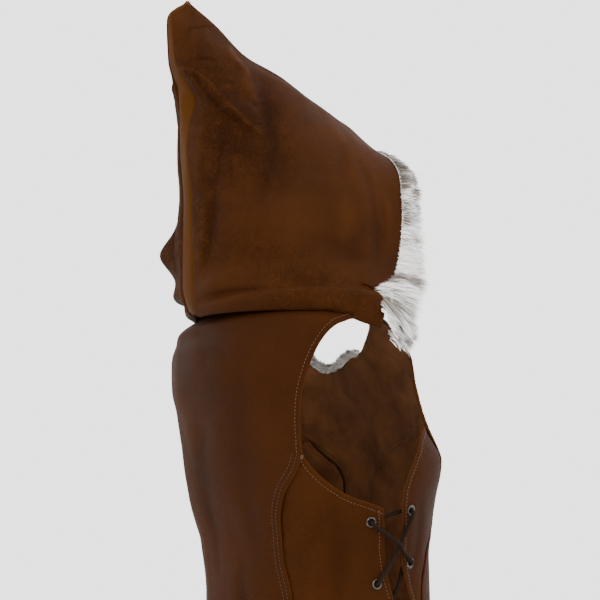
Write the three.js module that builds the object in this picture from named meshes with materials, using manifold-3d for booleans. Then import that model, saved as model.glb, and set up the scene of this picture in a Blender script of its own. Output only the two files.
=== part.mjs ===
// A sleeveless leather tunic with a pointed hood, laced at both sides, in the hollow form it
// has when worn. Millimetres, +Z up. The wearer faces -Y and their left is +X. The origin is
// the middle of the neck opening at the height of the shoulder seams' neck ends.
import * as THREE from "three";
import Module from "manifold-3d";

const wasm = await Module();
wasm.setup();

// ---------------------------------------------------------------- sizes
const WALL = 2; // leather
const SEAM_GAP = 0.3; // between sewn pieces
const HEM_Z = -770;
const WAIST_UP_Z = -242; // the rows of all panels are level up to here
const LEVEL_ROWS = 12;
const BACK_ARM_Z = -171; // back end of the armhole's lower edge, where the back seam meets it
const FRONT_ARM_Z = -137; // front end of it, where the front seam meets it

const EYELET = { hole: 3.0, barrel: 3.5, rim: 5.75, back: 5.3, flange: 0.9, gap: 0.6, sides: 10 };
const EYELET_HOLE = 4.05; // in the leather
const LACE_R = 2.2;
const KNOT_R = 4.4;

const BUST = { angle: 38, z: -168, spread: 22, height: 50, out: 10 };

const LEATHER = { color: 0x6f4a2e, roughness: 0.7, metalness: 0 };
const HOOD_LEATHER = { color: 0x5f3d26, roughness: 0.5, metalness: 0 };
const FUR = { color: 0xd9d4cc, roughness: 0.95, metalness: 0 };
const NICKEL = { color: 0xb9b6ae, roughness: 0.3, metalness: 1 };
const LACE = { color: 0x54463c, roughness: 0.75, metalness: 0 };

// ---------------------------------------------------------------- tables
const table = (columns, ...rows) =>
  rows.map((row) => Object.fromEntries(columns.map((name, i) => [name, row[i]])));

// Level rings of the body: half width, depth before and behind the widest line, how far that
// line lies ahead of the origin, and how square the front and back halves are.
const RINGS = table(
  ["z", "wide", "front", "back", "ahead", "frontPower", "backPower"],
  [HEM_Z, 212, 172, 160, 0, 2.1, 2.15],
  [-640, 203, 165, 152, 0, 2.1, 2.15],
  [-520, 190, 152, 140, 0, 2.1, 2.15],
  [-430, 171, 134, 121, 0, 2.12, 2.2],
  [-360, 154, 121, 104.5, 0, 2.15, 2.2],
  [-310, 155, 118, 103, 0, 2.15, 2.2],
  [-260, 165, 114.5, 107, 0, 2.15, 2.2],
  [-210, 177, 117, 117.4, -4, 2.15, 2.2],
  [-170, 182, 120, 121, -8, 2.15, 2.2],
  [-135, 181, 110.5, 120, -14, 2.25, 2.2],
  [-115, 179, 109, 119.7, -18, 2.4, 2.2],
  [-90, 177, 103, 122.6, -22, 2.7, 2.2],
  [-60, 175, 93.5, 120.6, -25, 3.1, 2.2],
  [-48, 174, 81, 118, -26, 3.1, 2.2],
  [-36, 172, 69, 114, -26, 3.1, 2.2],
  [-27, 167, 65, 112, -27, 3, 2.2],
  [-20, 155, 60, 106, -27, 3, 2.2],
  [-13, 135, 53, 95, -28, 3, 2.2],
  [-7, 116, 46, 84, -28, 2.8, 2.2],
  [0, 95, 40, 72, -28, 2.6, 2.2],
);

// Borders of the panels on the wearer's right, as angles from the centre front.
const BACK_BORDER = table(
  ["z", "angle"],
  [HEM_Z, -133], [-420, -133.5], [-323, -135.6], [-308, -136.9], [-280, -140.5],
  [-259, -141.4], [-244, -141.2], [-214, -137], [-185, -128.6], [-171, -126.3],
  [-144, -125.2], [-112, -121.9], [-92, -117.8], [-71, -113.5], [-52, -108.4],
  [-37, -101.9], [-31, -95.5], [-27, -90], [0, -90],
);
const SIDE_LACE_EDGE = table(
  ["z", "angle"],
  [HEM_Z, -80], [-500, -80], [-420, -79.5], [-360, -79.3], [-322, -80.4], [-305, -83.1],
  [-289, -85.4], [-268, -87.7], [-226, -89.1],
);
const FRONT_LACE_EDGE = table(
  ["z", "angle"],
  [HEM_Z, -72], [-500, -71.5], [-420, -69], [-360, -67.5], [-322, -68.7], [-313, -70.4],
  [-293, -74.1], [-276, -77.3], [-251, -78.2], [-218, -78.8], [-195, -75.6], [-173, -69.7],
  [-151, -61.9], [FRONT_ARM_Z, -52],
);
const FRONT_BORDER = table(
  ["z", "angle"],
  [HEM_Z, -46], [-520, -48], [-420, -52], [-360, -56], [-323, -57.5], [-273, -50.2],
  [-242, -41], [-218, -37], [-190, -37.5], [-168, -41], [-153, -46], [FRONT_ARM_Z, -49.6],
  [-117, -50.6], [-91, -52.5], [-70, -51], [-54, -47.5], [-45, -45], [-38, -50],
  [-33, -60], [-30, -72], [-28, -84], [-27, -90], [0, -90],
);
// Lower edge of the armhole on the side panel.
const ARM_LOW = table(
  ["angle", "z"],
  [-126.3, -171], [-122, -186], [-113.9, -203], [-104.5, -215], [-94.6, -222], [-88.8, -227],
);
// Rungs across the front's two straps, from the foot of the scoop neckline up to the shoulder
// seams: a height on the armhole and a place on the neckline, right and left. The scoop has
// slipped a little towards the wearer's left.
const STRAP = table(
  ["armZ", "rightAngle", "rightZ", "leftAngle", "leftZ"],
  [FRONT_ARM_Z, 7, -55, 7, -55],
  [-115, -1, -47, 13.5, -58],
  [-91, -7.5, -38, 19, -58.5],
  [-70, -14, -30, 23, -51],
  [-54, -22, -22, 25, -38],
  [-45, -32, -14.5, 28.5, -25],
  [-38, -45, -9, 38, -14],
  [-33, -59, -5.5, 55, -7],
  [-30, -74, -2.5, 72, -3],
  [-27, -90, 0, 90, 0],
);

// Sections of one side of the hood, from the neck seam over the roll on the shoulder up to the
// crest: back edge, widest line and face edge, each forward of the origin, sideways and up.
const HOOD = table(
  ["steps", "backF", "backZ", "backHalf", "sideF", "sideZ", "wide", "frontF", "frontZ",
    "frontHalf", "power"],
  [0, -104, 3, 15, -30, 3, 97, 30, -9, 85, 2.1], // neck seam
  [2, -128, -6, 15, -28, -7, 130, 22, -14, 114, 2], // under the roll
  [2, -143, -13, 16, -12, -21, 162, 8, -24, 160, 1.9], // lowest line of the roll
  [2, -150, -7, 16, -6, -14, 171, 2, -27, 172, 1.9],
  [2, -151, 6, 16, -6, -1, 168, 6, -13, 171, 1.9],
  [2, -151, 19, 16, -20, 16, 136, 20, 6, 146, 2], // crease above the roll
  [2, -151.5, 38, 16, -30, 40, 118, 46, 30, 118, 2.2],
  [2, -153, 80, 15, -32, 80, 113, 60, 64, 105, 2.8],
  [2, -155, 125, 15, -32, 113, 108, 66, 100, 98, 2.5],
  [2, -158, 165, 15, -32, 143, 98, 71, 132, 87, 2.3],
  [2, -159, 205, 15, -32, 172, 84, 76, 157, 71, 2.2],
  [2, -161, 240, 14, -32, 199, 66, 80, 174, 50, 2.1],
  [2, -171, 275, 10, -32, 224, 47, 82, 183, 28, 2],
  [1, -174, 308, 6, -32, 244, 26, 83, 187, 12, 2],
  [2, -153, 336, 0.2, -32, 259, 0.2, 83, 188.5, 0.2, 2], // crest
);
const HOOD_COLUMNS = 13;
const FUR_FROM_ROW = 4; // the face edge has fur from this section of the table up
// Largest folds on the hood's sides: a line from one place to another, from the back edge (0) to
// the face edge (1) and up, its half width, and how far it stands out (or sinks in).
const HOOD_FOLDS = table(
  ["side", "from", "fromZ", "to", "toZ", "half", "out"],
  [-1, 0.02, 256, 0.3, 200, 13, 5],
  [-1, 0.4, 245, 0.33, 120, 18, -6],
  [-1, 0.12, 125, 0.08, 40, 14, -4],
  [-1, 0.7, 120, 0.76, 30, 24, 3],
  [1, 0.2, 64, 0.3, 60, 21, 20],
  [1, 0.04, 240, 0.3, 185, 14, 5],
  [1, 0.42, 230, 0.36, 110, 18, -5],
);
const FOLD_SPAN = 260; // length of a section, for the folds' distances

// Fur strips: how far they reach past the leather's edge and how thick they are, by height.
const HOOD_FUR = table(
  ["z", "reach", "thick"],
  [-50, 16, 8], [-37, 27, 12], [-22, 36, 15], [-8, 38, 17], [20, 34, 18], [60, 28, 18],
  [200, 27, 18],
);
// The end of the hood's fur hangs below its face edge: forward, up, sideways.
const FUR_END = table(["forward", "z", "half"], [27, -49, 160], [22, -36, 167], [12, -22, 172]);
const NECK_FUR = { reach: 19, thick: 13 };

// Height of each row of eyelets, and how far they lie from the lacing edges.
const EYELET_ROWS = table(
  ["side", "front"],
  [-241, -228], [-305, -283], [-369, -347], [-433, -411],
);
const SIDE_EYELET_IN = 15.5;
const FRONT_EYELET_IN = 13.5;

// ---------------------------------------------------------------- curves and surfaces
// A smooth curve through a table's column that never overshoots its rows.
function smooth(rows, key, value) {
  const x = rows.map((r) => r[key]);
  const y = rows.map((r) => r[value]);
  const slope = x.slice(1).map((xi, i) => (y[i + 1] - y[i]) / (xi - x[i]));
  const tangent = y.map((_, i) => {
    if (i === 0) return slope[0];
    if (i === y.length - 1) return slope[i - 1];
    if (slope[i - 1] * slope[i] <= 0) return 0;
    const before = x[i] - x[i - 1];
    const after = x[i + 1] - x[i];
    const a = 2 * after + before;
    const b = after + 2 * before;
    return (a + b) / (a / slope[i - 1] + b / slope[i]);
  });
  return (at) => {
    const v = THREE.MathUtils.clamp(at, x[0], x[x.length - 1]);
    let i = 0;
    while (i < x.length - 2 && v > x[i + 1]) i += 1;
    const span = x[i + 1] - x[i];
    const t = (v - x[i]) / span;
    const s = 1 - t;
    return (
      (1 + 2 * t) * s * s * y[i] +
      t * s * s * span * tangent[i] +
      t * t * (3 - 2 * t) * y[i + 1] -
      t * t * s * span * tangent[i + 1]
    );
  };
}

const ring = Object.fromEntries(
  ["wide", "front", "back", "ahead", "frontPower", "backPower"].map((name) => [
    name,
    smooth(RINGS, "z", name),
  ]),
);
const backBorder = smooth(BACK_BORDER, "z", "angle");
const frontBorder = smooth(FRONT_BORDER, "z", "angle");
const sideLaceEdge = smooth(SIDE_LACE_EDGE, "z", "angle");
const frontLaceEdge = smooth(FRONT_LACE_EDGE, "z", "angle");
const armLow = smooth(ARM_LOW, "angle", "z");

const { lerp, degToRad } = THREE.MathUtils;
const power = (v, p) => Math.sign(v) * Math.abs(v) ** p;

// A point of the body's outside at an angle from the centre front and a height.
function bodyPoint(angle, z) {
  const s = Math.sin(degToRad(angle));
  const c = Math.cos(degToRad(angle));
  const n = c >= 0 ? ring.frontPower(z) : ring.backPower(z);
  const depth = c >= 0 ? ring.front(z) : ring.back(z);
  let x = ring.wide(z) * power(s, 2 / n);
  let ahead = ring.ahead(z) + depth * power(c, 2 / n);
  for (const side of [-1, 1]) {
    const across = (angle - side * BUST.angle) / BUST.spread;
    const up = (z - BUST.z) / BUST.height;
    const out = BUST.out * Math.exp(-across * across - up * up);
    x += side * 0.45 * out;
    ahead += out;
  }
  return new THREE.Vector3(x, -ahead, z);
}

function bodyNormal(angle, z) {
  const across = bodyPoint(angle + 0.5, z).sub(bodyPoint(angle - 0.5, z));
  const up = bodyPoint(angle, z + 1).sub(bodyPoint(angle, z - 1));
  return across.cross(up).normalize();
}

// The angle a given distance along the ring from another one.
function alongRing(angle, z, distance) {
  const stepAngle = Math.sign(distance) * 0.25;
  let at = angle;
  let left = Math.abs(distance);
  let here = bodyPoint(at, z);
  while (left > 0) {
    const next = bodyPoint(at + stepAngle, z);
    const length = next.distanceTo(here);
    if (length >= left) return at + (stepAngle * left) / length;
    left -= length;
    at += stepAngle;
    here = next;
  }
  return at;
}

// ---------------------------------------------------------------- solids
const tunic = new THREE.Group();
tunic.name = "hooded_tunic";

function addMesh(name, geometry, look) {
  const mesh = new THREE.Mesh(geometry, new THREE.MeshStandardMaterial(look));
  mesh.name = name;
  tunic.add(mesh);
  return mesh;
}

function geometryFrom(vertices, triangles) {
  const geometry = new THREE.BufferGeometry();
  geometry.setAttribute("position", new THREE.Float32BufferAttribute(vertices, 3));
  geometry.setIndex(triangles);
  return geometry;
}

// Welds grids of places that share borders into one list of places and triangles. Rows go up
// and columns go round anticlockwise seen from above. `key` tells places apart.
function patchwork(grids, key) {
  const places = [];
  const ids = new Map();
  const idOf = (place) => {
    const name = key(place);
    if (!ids.has(name)) ids.set(name, places.push(place) - 1);
    return ids.get(name);
  };
  const triangles = [];
  for (const grid of grids) {
    const id = grid.map((row) => row.map(idOf));
    for (let i = 0; i < grid.length - 1; i += 1) {
      for (let j = 0; j < grid[0].length - 1; j += 1) {
        const [a, b, c, d] = [id[i][j], id[i][j + 1], id[i + 1][j + 1], id[i + 1][j]];
        for (const t of [[a, b, c], [a, c, d]]) if (new Set(t).size === 3) triangles.push(t);
      }
    }
  }
  return { places, triangles };
}

// A wall of leather from its outside points, the outward normals there and its triangles.
function wall(points, normals, triangles) {
  const count = points.length;
  const inside = points.map((p, i) => p.clone().addScaledVector(normals[i], -WALL));
  const vertices = [...points, ...inside].flatMap((p) => [p.x, p.y, p.z]);
  const index = triangles.flatMap(([a, b, c]) => [a, b, c, count + c, count + b, count + a]);
  const edges = new Set(triangles.flatMap(([a, b, c]) => [a + "," + b, b + "," + c, c + "," + a]));
  for (const edge of edges) {
    const [a, b] = edge.split(",").map(Number);
    if (!edges.has(b + "," + a)) index.push(b, a, count + a, b, count + a, count + b);
  }
  return geometryFrom(vertices, index);
}

// Body panels are grids of angle and height, laid on the body's outside.
const onBody = (grid) => grid.map((row) => row.map(({ angle, z }) => bodyPoint(angle, z)));
function bodySheet(...grids) {
  const { places, triangles } = patchwork(grids, ({ angle, z }) =>
    angle.toFixed(6) + "," + z.toFixed(6));
  const points = places.map(({ angle, z }) => bodyPoint(angle, z));
  return wall(points, places.map(({ angle, z }) => bodyNormal(angle, z)), triangles);
}

const levels = Array.from({ length: LEVEL_ROWS + 1 }, (_, i) =>
  lerp(HEM_Z, WAIST_UP_Z, i / LEVEL_ROWS),
);
const BACK_SEAM_TOP = [-228, -214, -200, -186, BACK_ARM_Z];
const FRONT_SEAM_TOP = [-218, -196, -174, -154, FRONT_ARM_Z];
const SHOULDER_ROWS = [-27, -20, -13, -7, 0];

// The upper part of a panel: a patch between its level lower row, its two side borders, given
// at the heights in `rows`, and its top border.
function upperPatch(rows, border, top, columns) {
  const low = rows[0];
  return rows.slice(1).map((z) => {
    const v = (z - low) / (0 - low);
    return Array.from({ length: columns + 1 }, (_, j) => {
      const u = j / columns;
      const end = top(u);
      const foot = lerp(border(low, 0), border(low, 1), u);
      const mean = lerp(border(z, 0), border(z, 1), u);
      const corners = lerp(foot, lerp(border(0, 0), border(0, 1), u), v);
      return {
        angle: lerp(foot, end.angle, v) + mean - corners,
        z: z + v * end.z,
      };
    });
  });
}

const BACK_COLUMNS = 12;
const backEdge = (z, u) => {
  const right = 360 + alongRing(backBorder(z), z, -SEAM_GAP / 2);
  return u === 0 ? 360 - right : right;
};
const backGrid = [
  ...[...levels, ...BACK_SEAM_TOP].map((z) =>
    Array.from({ length: BACK_COLUMNS + 1 }, (_, j) => ({
      angle: lerp(backEdge(z, 0), backEdge(z, 1), j / BACK_COLUMNS),
      z,
    })),
  ),
  ...upperPatch(
    [BACK_ARM_Z, -144, -112, -92, -71, -52, -37, -31, ...SHOULDER_ROWS],
    backEdge,
    (u) => ({ angle: lerp(backEdge(0, 0), backEdge(0, 1), u), z: -6 * Math.sin(Math.PI * u) ** 2 }),
    BACK_COLUMNS,
  ),
];

const FRONT_COLUMNS = 16;
const frontEdge = (z, u) => {
  const right = alongRing(frontBorder(z), z, SEAM_GAP / 2);
  return u === 0 ? right : -right;
};
const row = (from, to, cells) =>
  Array.from({ length: cells + 1 }, (_, k) => ({
    angle: lerp(from.angle, to.angle, k / cells),
    z: lerp(from.z, to.z, k / cells),
  }));
const frontBody = [...levels, ...FRONT_SEAM_TOP].map((z) =>
  row({ angle: frontEdge(z, 0), z }, { angle: frontEdge(z, 1), z }, FRONT_COLUMNS),
);
const strapRight = STRAP.map(({ armZ, rightAngle, rightZ }) =>
  row({ angle: frontEdge(armZ, 0), z: armZ }, { angle: rightAngle, z: rightZ }, FRONT_COLUMNS / 2),
);
const strapLeft = STRAP.map(({ armZ, leftAngle, leftZ }) =>
  row({ angle: leftAngle, z: leftZ }, { angle: frontEdge(armZ, 1), z: armZ }, FRONT_COLUMNS / 2),
);
// Between the level rows and the first rungs of the straps.
const chestFoot = frontBody[frontBody.length - 1];
const chestTop = [...strapRight[0], ...strapLeft[0].slice(1)];
const frontChest = [0, 1, 2, 3].map((i) =>
  chestFoot.map((foot, j) => ({
    angle: lerp(foot.angle, chestTop[j].angle, i / 3),
    z: lerp(foot.z, chestTop[j].z, i / 3),
  })),
);

// A panel beside a lacing edge: a few columns at set distances from that edge, so that each
// eyelet lies in the middle of one, and the rest evenly spaced to the seam.
function lacedColumns(edge, seam, z, fromEdge, columns) {
  const near = fromEdge.map((mm) => alongRing(edge, z, mm * Math.sign(seam - edge)));
  const last = near[near.length - 1];
  const rest = columns - near.length + 1;
  return [...near, ...Array.from({ length: rest }, (_, k) => lerp(last, seam, (k + 1) / rest))];
}

const SIDE_COLUMNS = 7;
const sideGrid = [...levels, ...BACK_SEAM_TOP].map((z) => {
  const seam = alongRing(backBorder(z), z, SEAM_GAP / 2);
  const above = Math.max(0, z - WAIST_UP_Z) / (BACK_ARM_Z - WAIST_UP_Z);
  const edge = sideLaceEdge(Math.min(z, WAIST_UP_Z + above * 15));
  const edgeZ = Math.min(z, WAIST_UP_Z);
  return lacedColumns(edge, seam, edgeZ, [0, 7.5, 23.5], SIDE_COLUMNS)
    .map((angle) => ({ angle, z: lerp(edgeZ, armLow(angle), above) }))
    .reverse();
});

const FRONT_SIDE_COLUMNS = 5;
const frontSideGrid = [...levels, ...FRONT_SEAM_TOP].map((z) => {
  const edge = frontLaceEdge(z);
  const seam = alongRing(frontBorder(z), z, -SEAM_GAP / 2);
  const taper = Math.min(1, (seam - edge) / 12);
  return lacedColumns(edge, seam, z, [0, 6 * taper, 21 * taper ** 1.5], FRONT_SIDE_COLUMNS).map(
    (angle) => ({ angle, z }),
  );
});

// ---------------------------------------------------------------- eyelets
function eyeletPlace(edge, inward, z) {
  const angle = alongRing(edge, z, inward);
  return { angle, z };
}
const places = EYELET_ROWS.map((row) => ({
  side: eyeletPlace(sideLaceEdge(row.side), -SIDE_EYELET_IN, row.side),
  front: eyeletPlace(frontLaceEdge(row.front), FRONT_EYELET_IN, row.front),
}));

// The point and outward normal of a sheet's facet nearest to a place on the body.
function onFacet(grid, { angle, z }) {
  const target = bodyPoint(angle, z);
  const out = bodyNormal(angle, z);
  const points = onBody(grid);
  const line = new THREE.Ray(target.clone().addScaledVector(out, 20), out.clone().negate());
  for (let i = 0; i < points.length - 1; i += 1) {
    for (let j = 0; j < points[0].length - 1; j += 1) {
      const [a, b, c, d] = [points[i][j], points[i][j + 1], points[i + 1][j + 1], points[i + 1][j]];
      for (const [p, q, r] of [[a, b, c], [a, c, d]]) {
        const hit = line.intersectTriangle(p, q, r, false, new THREE.Vector3());
        if (hit) return { point: hit, normal: c.clone().sub(a).cross(d.clone().sub(b)).normalize() };
      }
    }
  }
  throw new Error("no facet under the eyelet at " + angle + ", " + z);
}

const turned = (normal) =>
  new THREE.Quaternion().setFromUnitVectors(new THREE.Vector3(0, 1, 0), normal);

function eyeletGeometry({ point, normal }) {
  const { hole, barrel, rim, back, flange, gap, sides } = EYELET;
  const top = gap + flange;
  const bottom = -WALL - gap;
  const profile = [
    [hole, top - 0.2], [hole, bottom - flange], [back, bottom], [barrel, bottom],
    [barrel, gap], [rim, gap], [rim - 0.7, top], [hole, top - 0.2],
  ].map(([r, h]) => new THREE.Vector2(r, h));
  return new THREE.LatheGeometry(profile, sides)
    .applyQuaternion(turned(normal))
    .translate(point.x, point.y, point.z);
}

function solidFrom(geometry) {
  const mesh = new wasm.Mesh({
    numProp: 3,
    vertProperties: Float32Array.from(geometry.attributes.position.array),
    triVerts: Uint32Array.from(geometry.index.array),
  });
  mesh.merge();
  return new wasm.Manifold(mesh);
}

function geometryOf(solid) {
  const { vertProperties, triVerts, numProp } = solid.getMesh();
  const vertices = [];
  for (let i = 0; i < vertProperties.length; i += numProp)
    vertices.push(vertProperties[i], vertProperties[i + 1], vertProperties[i + 2]);
  return geometryFrom(vertices, Array.from(triVerts));
}

// A sheet with a round hole punched through it at each eyelet.
function punched(geometry, spots) {
  let solid = solidFrom(geometry);
  for (const { point, normal } of spots) {
    const cut = new THREE.CylinderGeometry(EYELET_HOLE, EYELET_HOLE, 9, 10)
      .applyQuaternion(turned(normal))
      .translate(point.x, point.y, point.z);
    solid = solid.subtract(solidFrom(cut));
  }
  return geometryOf(solid);
}

// ---------------------------------------------------------------- laces
function knotted(tube, ends) {
  const plain = (geometry) => {
    const { array, count } = geometry.attributes.position;
    return geometryFrom(Array.from(array), Array.from({ length: count }, (_, i) => i));
  };
  let solid = solidFrom(plain(tube));
  for (const { x, y, z } of ends)
    solid = solid.add(solidFrom(plain(new THREE.IcosahedronGeometry(KNOT_R, 1).translate(x, y, z))));
  return geometryOf(solid);
}

// One lace: up one strand, along the bar inside the top row and down the other, crossing
// outside, inside and outside, to a knot inside at each end. Points are given as a place on the
// body and a height over its outside.
function laceGeometry(spots) {
  const { gap, flange } = EYELET;
  const over = gap + flange + 0.4 + LACE_R + 0.6;
  const under = -(WALL + gap + flange + 0.4 + LACE_R + 0.6);
  const points = [];
  const place = (p, h) => points.push(bodyPoint(p.angle, p.z).addScaledVector(
    bodyNormal(p.angle, p.z), h));
  // Through an eyelet, from one face of the leather to the other.
  const pass = (before, here, after, outwards) => {
    const { point, normal } = spots.get(here);
    const lift = (h, toward = here, mm = 0) => {
      const way = bodyPoint(toward.angle, toward.z).sub(point);
      way.addScaledVector(normal, -way.dot(normal)).normalize();
      points.push(point.clone().addScaledVector(normal, h).addScaledVector(way, mm));
    };
    const [first, last] = outwards ? [under, over] : [over, under];
    lift(first, before, 6.5);
    lift(first - Math.sign(first) * 0.8, before, 1.4);
    lift(outwards ? -WALL - gap - flange : gap + flange);
    lift(outwards ? gap + flange : -WALL - gap - flange);
    lift(last - Math.sign(last) * 0.8, after, 1.4);
    lift(last, after, 6.5);
  };
  const cross = (from, to, height, extra) => {
    const at = (t) => ({ angle: lerp(from.angle, to.angle, t), z: lerp(from.z, to.z, t) });
    place(at(0.27), height);
    place(at(0.5), height + extra);
    place(at(0.73), height);
  };
  const rows = places;
  const start = { angle: rows[3].side.angle, z: rows[3].side.z - 30 };
  const finish = { angle: rows[3].front.angle, z: rows[3].front.z - 30 };
  place({ ...start, z: start.z + 14 }, under - 2);
  // First strand, climbing: side 4, front 3, side 2, front 1.
  pass(start, rows[3].side, rows[2].front, true);
  cross(rows[3].side, rows[2].front, over, 0);
  pass(rows[3].side, rows[2].front, rows[1].side, false);
  cross(rows[2].front, rows[1].side, under, 0);
  pass(rows[2].front, rows[1].side, rows[0].front, true);
  cross(rows[1].side, rows[0].front, over, 0);
  pass(rows[1].side, rows[0].front, rows[0].side, false);
  cross(rows[0].front, rows[0].side, under, 0);
  // Second strand, going down over the first: side 1, front 2, side 3, front 4.
  pass(rows[0].front, rows[0].side, rows[1].front, true);
  cross(rows[0].side, rows[1].front, over, LACE_R * 2 + 0.8);
  pass(rows[0].side, rows[1].front, rows[2].side, false);
  cross(rows[1].front, rows[2].side, under, -LACE_R * 2 - 0.8);
  pass(rows[1].front, rows[2].side, rows[3].front, true);
  cross(rows[2].side, rows[3].front, over, LACE_R * 2 + 0.8);
  pass(rows[2].side, rows[3].front, finish, false);
  place({ ...finish, z: finish.z + 14 }, under - 2);

  const path = new THREE.CatmullRomCurve3(points, false, "centripetal");
  path.getPointAt = path.getPoint;
  path.getTangentAt = path.getTangent;
  const section = new THREE.Shape(
    Array.from({ length: 8 }, (_, k) => {
      const turn = (k / 8) * 2 * Math.PI;
      return new THREE.Vector2(LACE_R * Math.cos(turn), LACE_R * Math.sin(turn));
    }),
  );
  const tube = new THREE.ExtrudeGeometry(section, {
    steps: points.length - 1,
    extrudePath: path,
  });
  return knotted(tube, [points[0], points[points.length - 1]]);
}

// ---------------------------------------------------------------- hood
const hoodRows = HOOD.map((row, i) => ({ ...row, i }));
const hoodAt = Object.fromEntries(
  Object.keys(HOOD[0])
    .filter((name) => name !== "steps")
    .map((name) => [name, smooth(hoodRows, "i", name)]),
);
const hoodSteps = HOOD.flatMap((row, i) =>
  Array.from({ length: row.steps }, (_, k) => i - 1 + (k + 1) / row.steps),
);
const hoodLevels = [0, ...hoodSteps];

function foldOut(side, t, z) {
  let out = 0;
  for (const fold of HOOD_FOLDS.filter((f) => f.side === side)) {
    const [ax, ay] = [fold.from * FOLD_SPAN, fold.fromZ];
    const [bx, by] = [fold.to * FOLD_SPAN, fold.toZ];
    const [dx, dy] = [bx - ax, by - ay];
    const x = t * FOLD_SPAN;
    const along = THREE.MathUtils.clamp(
      ((x - ax) * dx + (z - ay) * dy) / (dx * dx + dy * dy), 0, 1,
    );
    const away = Math.hypot(x - ax - along * dx, z - ay - along * dy) / fold.half;
    const edge = Math.min(1, t / 0.08, (1 - t) / 0.08);
    out += fold.out * Math.exp(-away * away) * edge;
  }
  return out;
}

// The hood's lower back corner on the wearer's left is tucked in toward the neck, most a
// little way on from the gusset.
const HOOD_TUCK = table(
  ["row", "inward"],
  [0, 4], [1, 12], [2, 18], [3, 16], [4, 8], [5, 2], [6, 2], [7, 6], [8, 10], [9, 9], [10, 6],
  [11, 3], [12, 0],
);
const TUCK_LIFT = 0.3; // how far it rises for each millimetre inward
const TUCK_AT_GUSSET = 0.45;
const hoodTuck = smooth(HOOD_TUCK, "row", "inward");
const { smoothstep } = THREE.MathUtils;
function tuckAt(side, row, t) {
  if (side < 0) return 0;
  const share = lerp(TUCK_AT_GUSSET, 1, smoothstep(t, 0, 0.12)) * (1 - smoothstep(t, 0.2, 0.5));
  return hoodTuck(row) * share;
}

function hoodPoint(side, row, t) {
  const r = Object.fromEntries(Object.entries(hoodAt).map(([name, at]) => [name, at(row)]));
  let forward, half;
  const turn = Math.min(1, t / 0.5) * (Math.PI / 2);
  if (t < 0.5) {
    half = r.backHalf + (r.wide - r.backHalf) * power(Math.sin(turn), 2 / r.power);
    forward = r.sideF - (r.sideF - r.backF) * power(Math.cos(turn), 2 / r.power);
  } else {
    const s = (t - 0.5) / 0.5;
    half = lerp(r.wide, r.frontHalf, s * s);
    forward = lerp(r.sideF, r.frontF, s);
  }
  // The height runs smoothly through the section's three named places.
  const named = [
    { forward: r.backF, z: r.backZ },
    { forward: r.sideF, z: r.sideZ },
    { forward: r.frontF, z: r.frontZ },
  ];
  const z = smooth(named, "forward", "z")(forward);
  const fold = row > 5 && row < HOOD.length - 1.4 ? foldOut(side, t, z) : 0;
  const tuck = tuckAt(side, row, t);
  const out = fold - tuck;
  return new THREE.Vector3(
    side * (half + out * Math.sin(turn)),
    -(forward - out * Math.cos(turn)),
    z + TUCK_LIFT * tuck,
  );
}

const hoodGrid = (side) =>
  hoodLevels.map((row) => {
    const points = Array.from({ length: HOOD_COLUMNS + 1 }, (_, j) =>
      hoodPoint(side, row, j / HOOD_COLUMNS),
    );
    return side < 0 ? points : points.reverse();
  });

// Where hood pieces meet, on the columns `seams` and along the crest, a wall is set back square
// to the seam.
function hoodSheet(grid, seams, hasCrest) {
  const at = (i, j) => grid[THREE.MathUtils.clamp(i, 0, grid.length - 1)][
    THREE.MathUtils.clamp(j, 0, grid[0].length - 1)];
  const normals = grid.flatMap((points, i) =>
    points.map((_, j) => {
      const across = at(i, j + 1).clone().sub(at(i, j - 1));
      const up = at(i + 1, j).clone().sub(at(i - 1, j));
      const normal = across.cross(up);
      if (seams.includes(j) || (hasCrest && i === grid.length - 1)) normal.setX(0);
      return normal.normalize();
    }),
  );
  const { places, triangles } = patchwork([grid], (p) => grid.flat().indexOf(p));
  return wall(places, normals, triangles);
}

const GUSSET_BULGE = 2;
const gussetGrid = hoodLevels.slice(0, -1).map((row) =>
  [1, 0, -1].map((across) => {
    const half = hoodAt.backHalf(row) - SEAM_GAP;
    const bulge = GUSSET_BULGE * (1 - across * across) * Math.min(1, half / 12);
    const tuck = (tuckAt(1, row, 0) * (across + 1)) / 2;
    const y = -hoodAt.backF(row) + bulge - tuck;
    return new THREE.Vector3(across * half, y, hoodAt.backZ(row) + TUCK_LIFT * tuck);
  }),
);
// ---------------------------------------------------------------- fur strips
// A padded strip that carries a leather edge on: `frames` hold a point of the edge, the way on
// past it, the leather's outward normal, and the strip's reach and thickness there.
const STRIP = table(
  ["along", "across"],
  [0, -0.3], [0.3, -0.5], [0.75, -0.45], [1, -0.14], [1, 0.14], [0.75, 0.45], [0.3, 0.5],
  [0, 0.3],
);
const STRIP_GAP = 1.2; // between the leather's edge and the strip
function strip(frames) {
  const vertices = [];
  for (const { edge, on, out, reach, thick } of frames) {
    for (const { along, across } of STRIP) {
      const p = edge
        .clone()
        .addScaledVector(on, STRIP_GAP + along * (reach - STRIP_GAP))
        .addScaledVector(out, across * thick - WALL / 2);
      vertices.push(p.x, p.y, p.z);
    }
  }
  const sides = STRIP.length;
  const triangles = [];
  for (let i = 0; i < frames.length - 1; i += 1)
    for (let k = 0; k < sides; k += 1) {
      const [a, b] = [i * sides + k, i * sides + ((k + 1) % sides)];
      triangles.push(a, b, b + sides, a, b + sides, a + sides);
    }
  for (let k = 1; k < sides - 1; k += 1) {
    const end = (frames.length - 1) * sides;
    triangles.push(0, k + 1, k, end, end + k, end + k + 1);
  }
  return geometryFrom(vertices, triangles);
}

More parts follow.
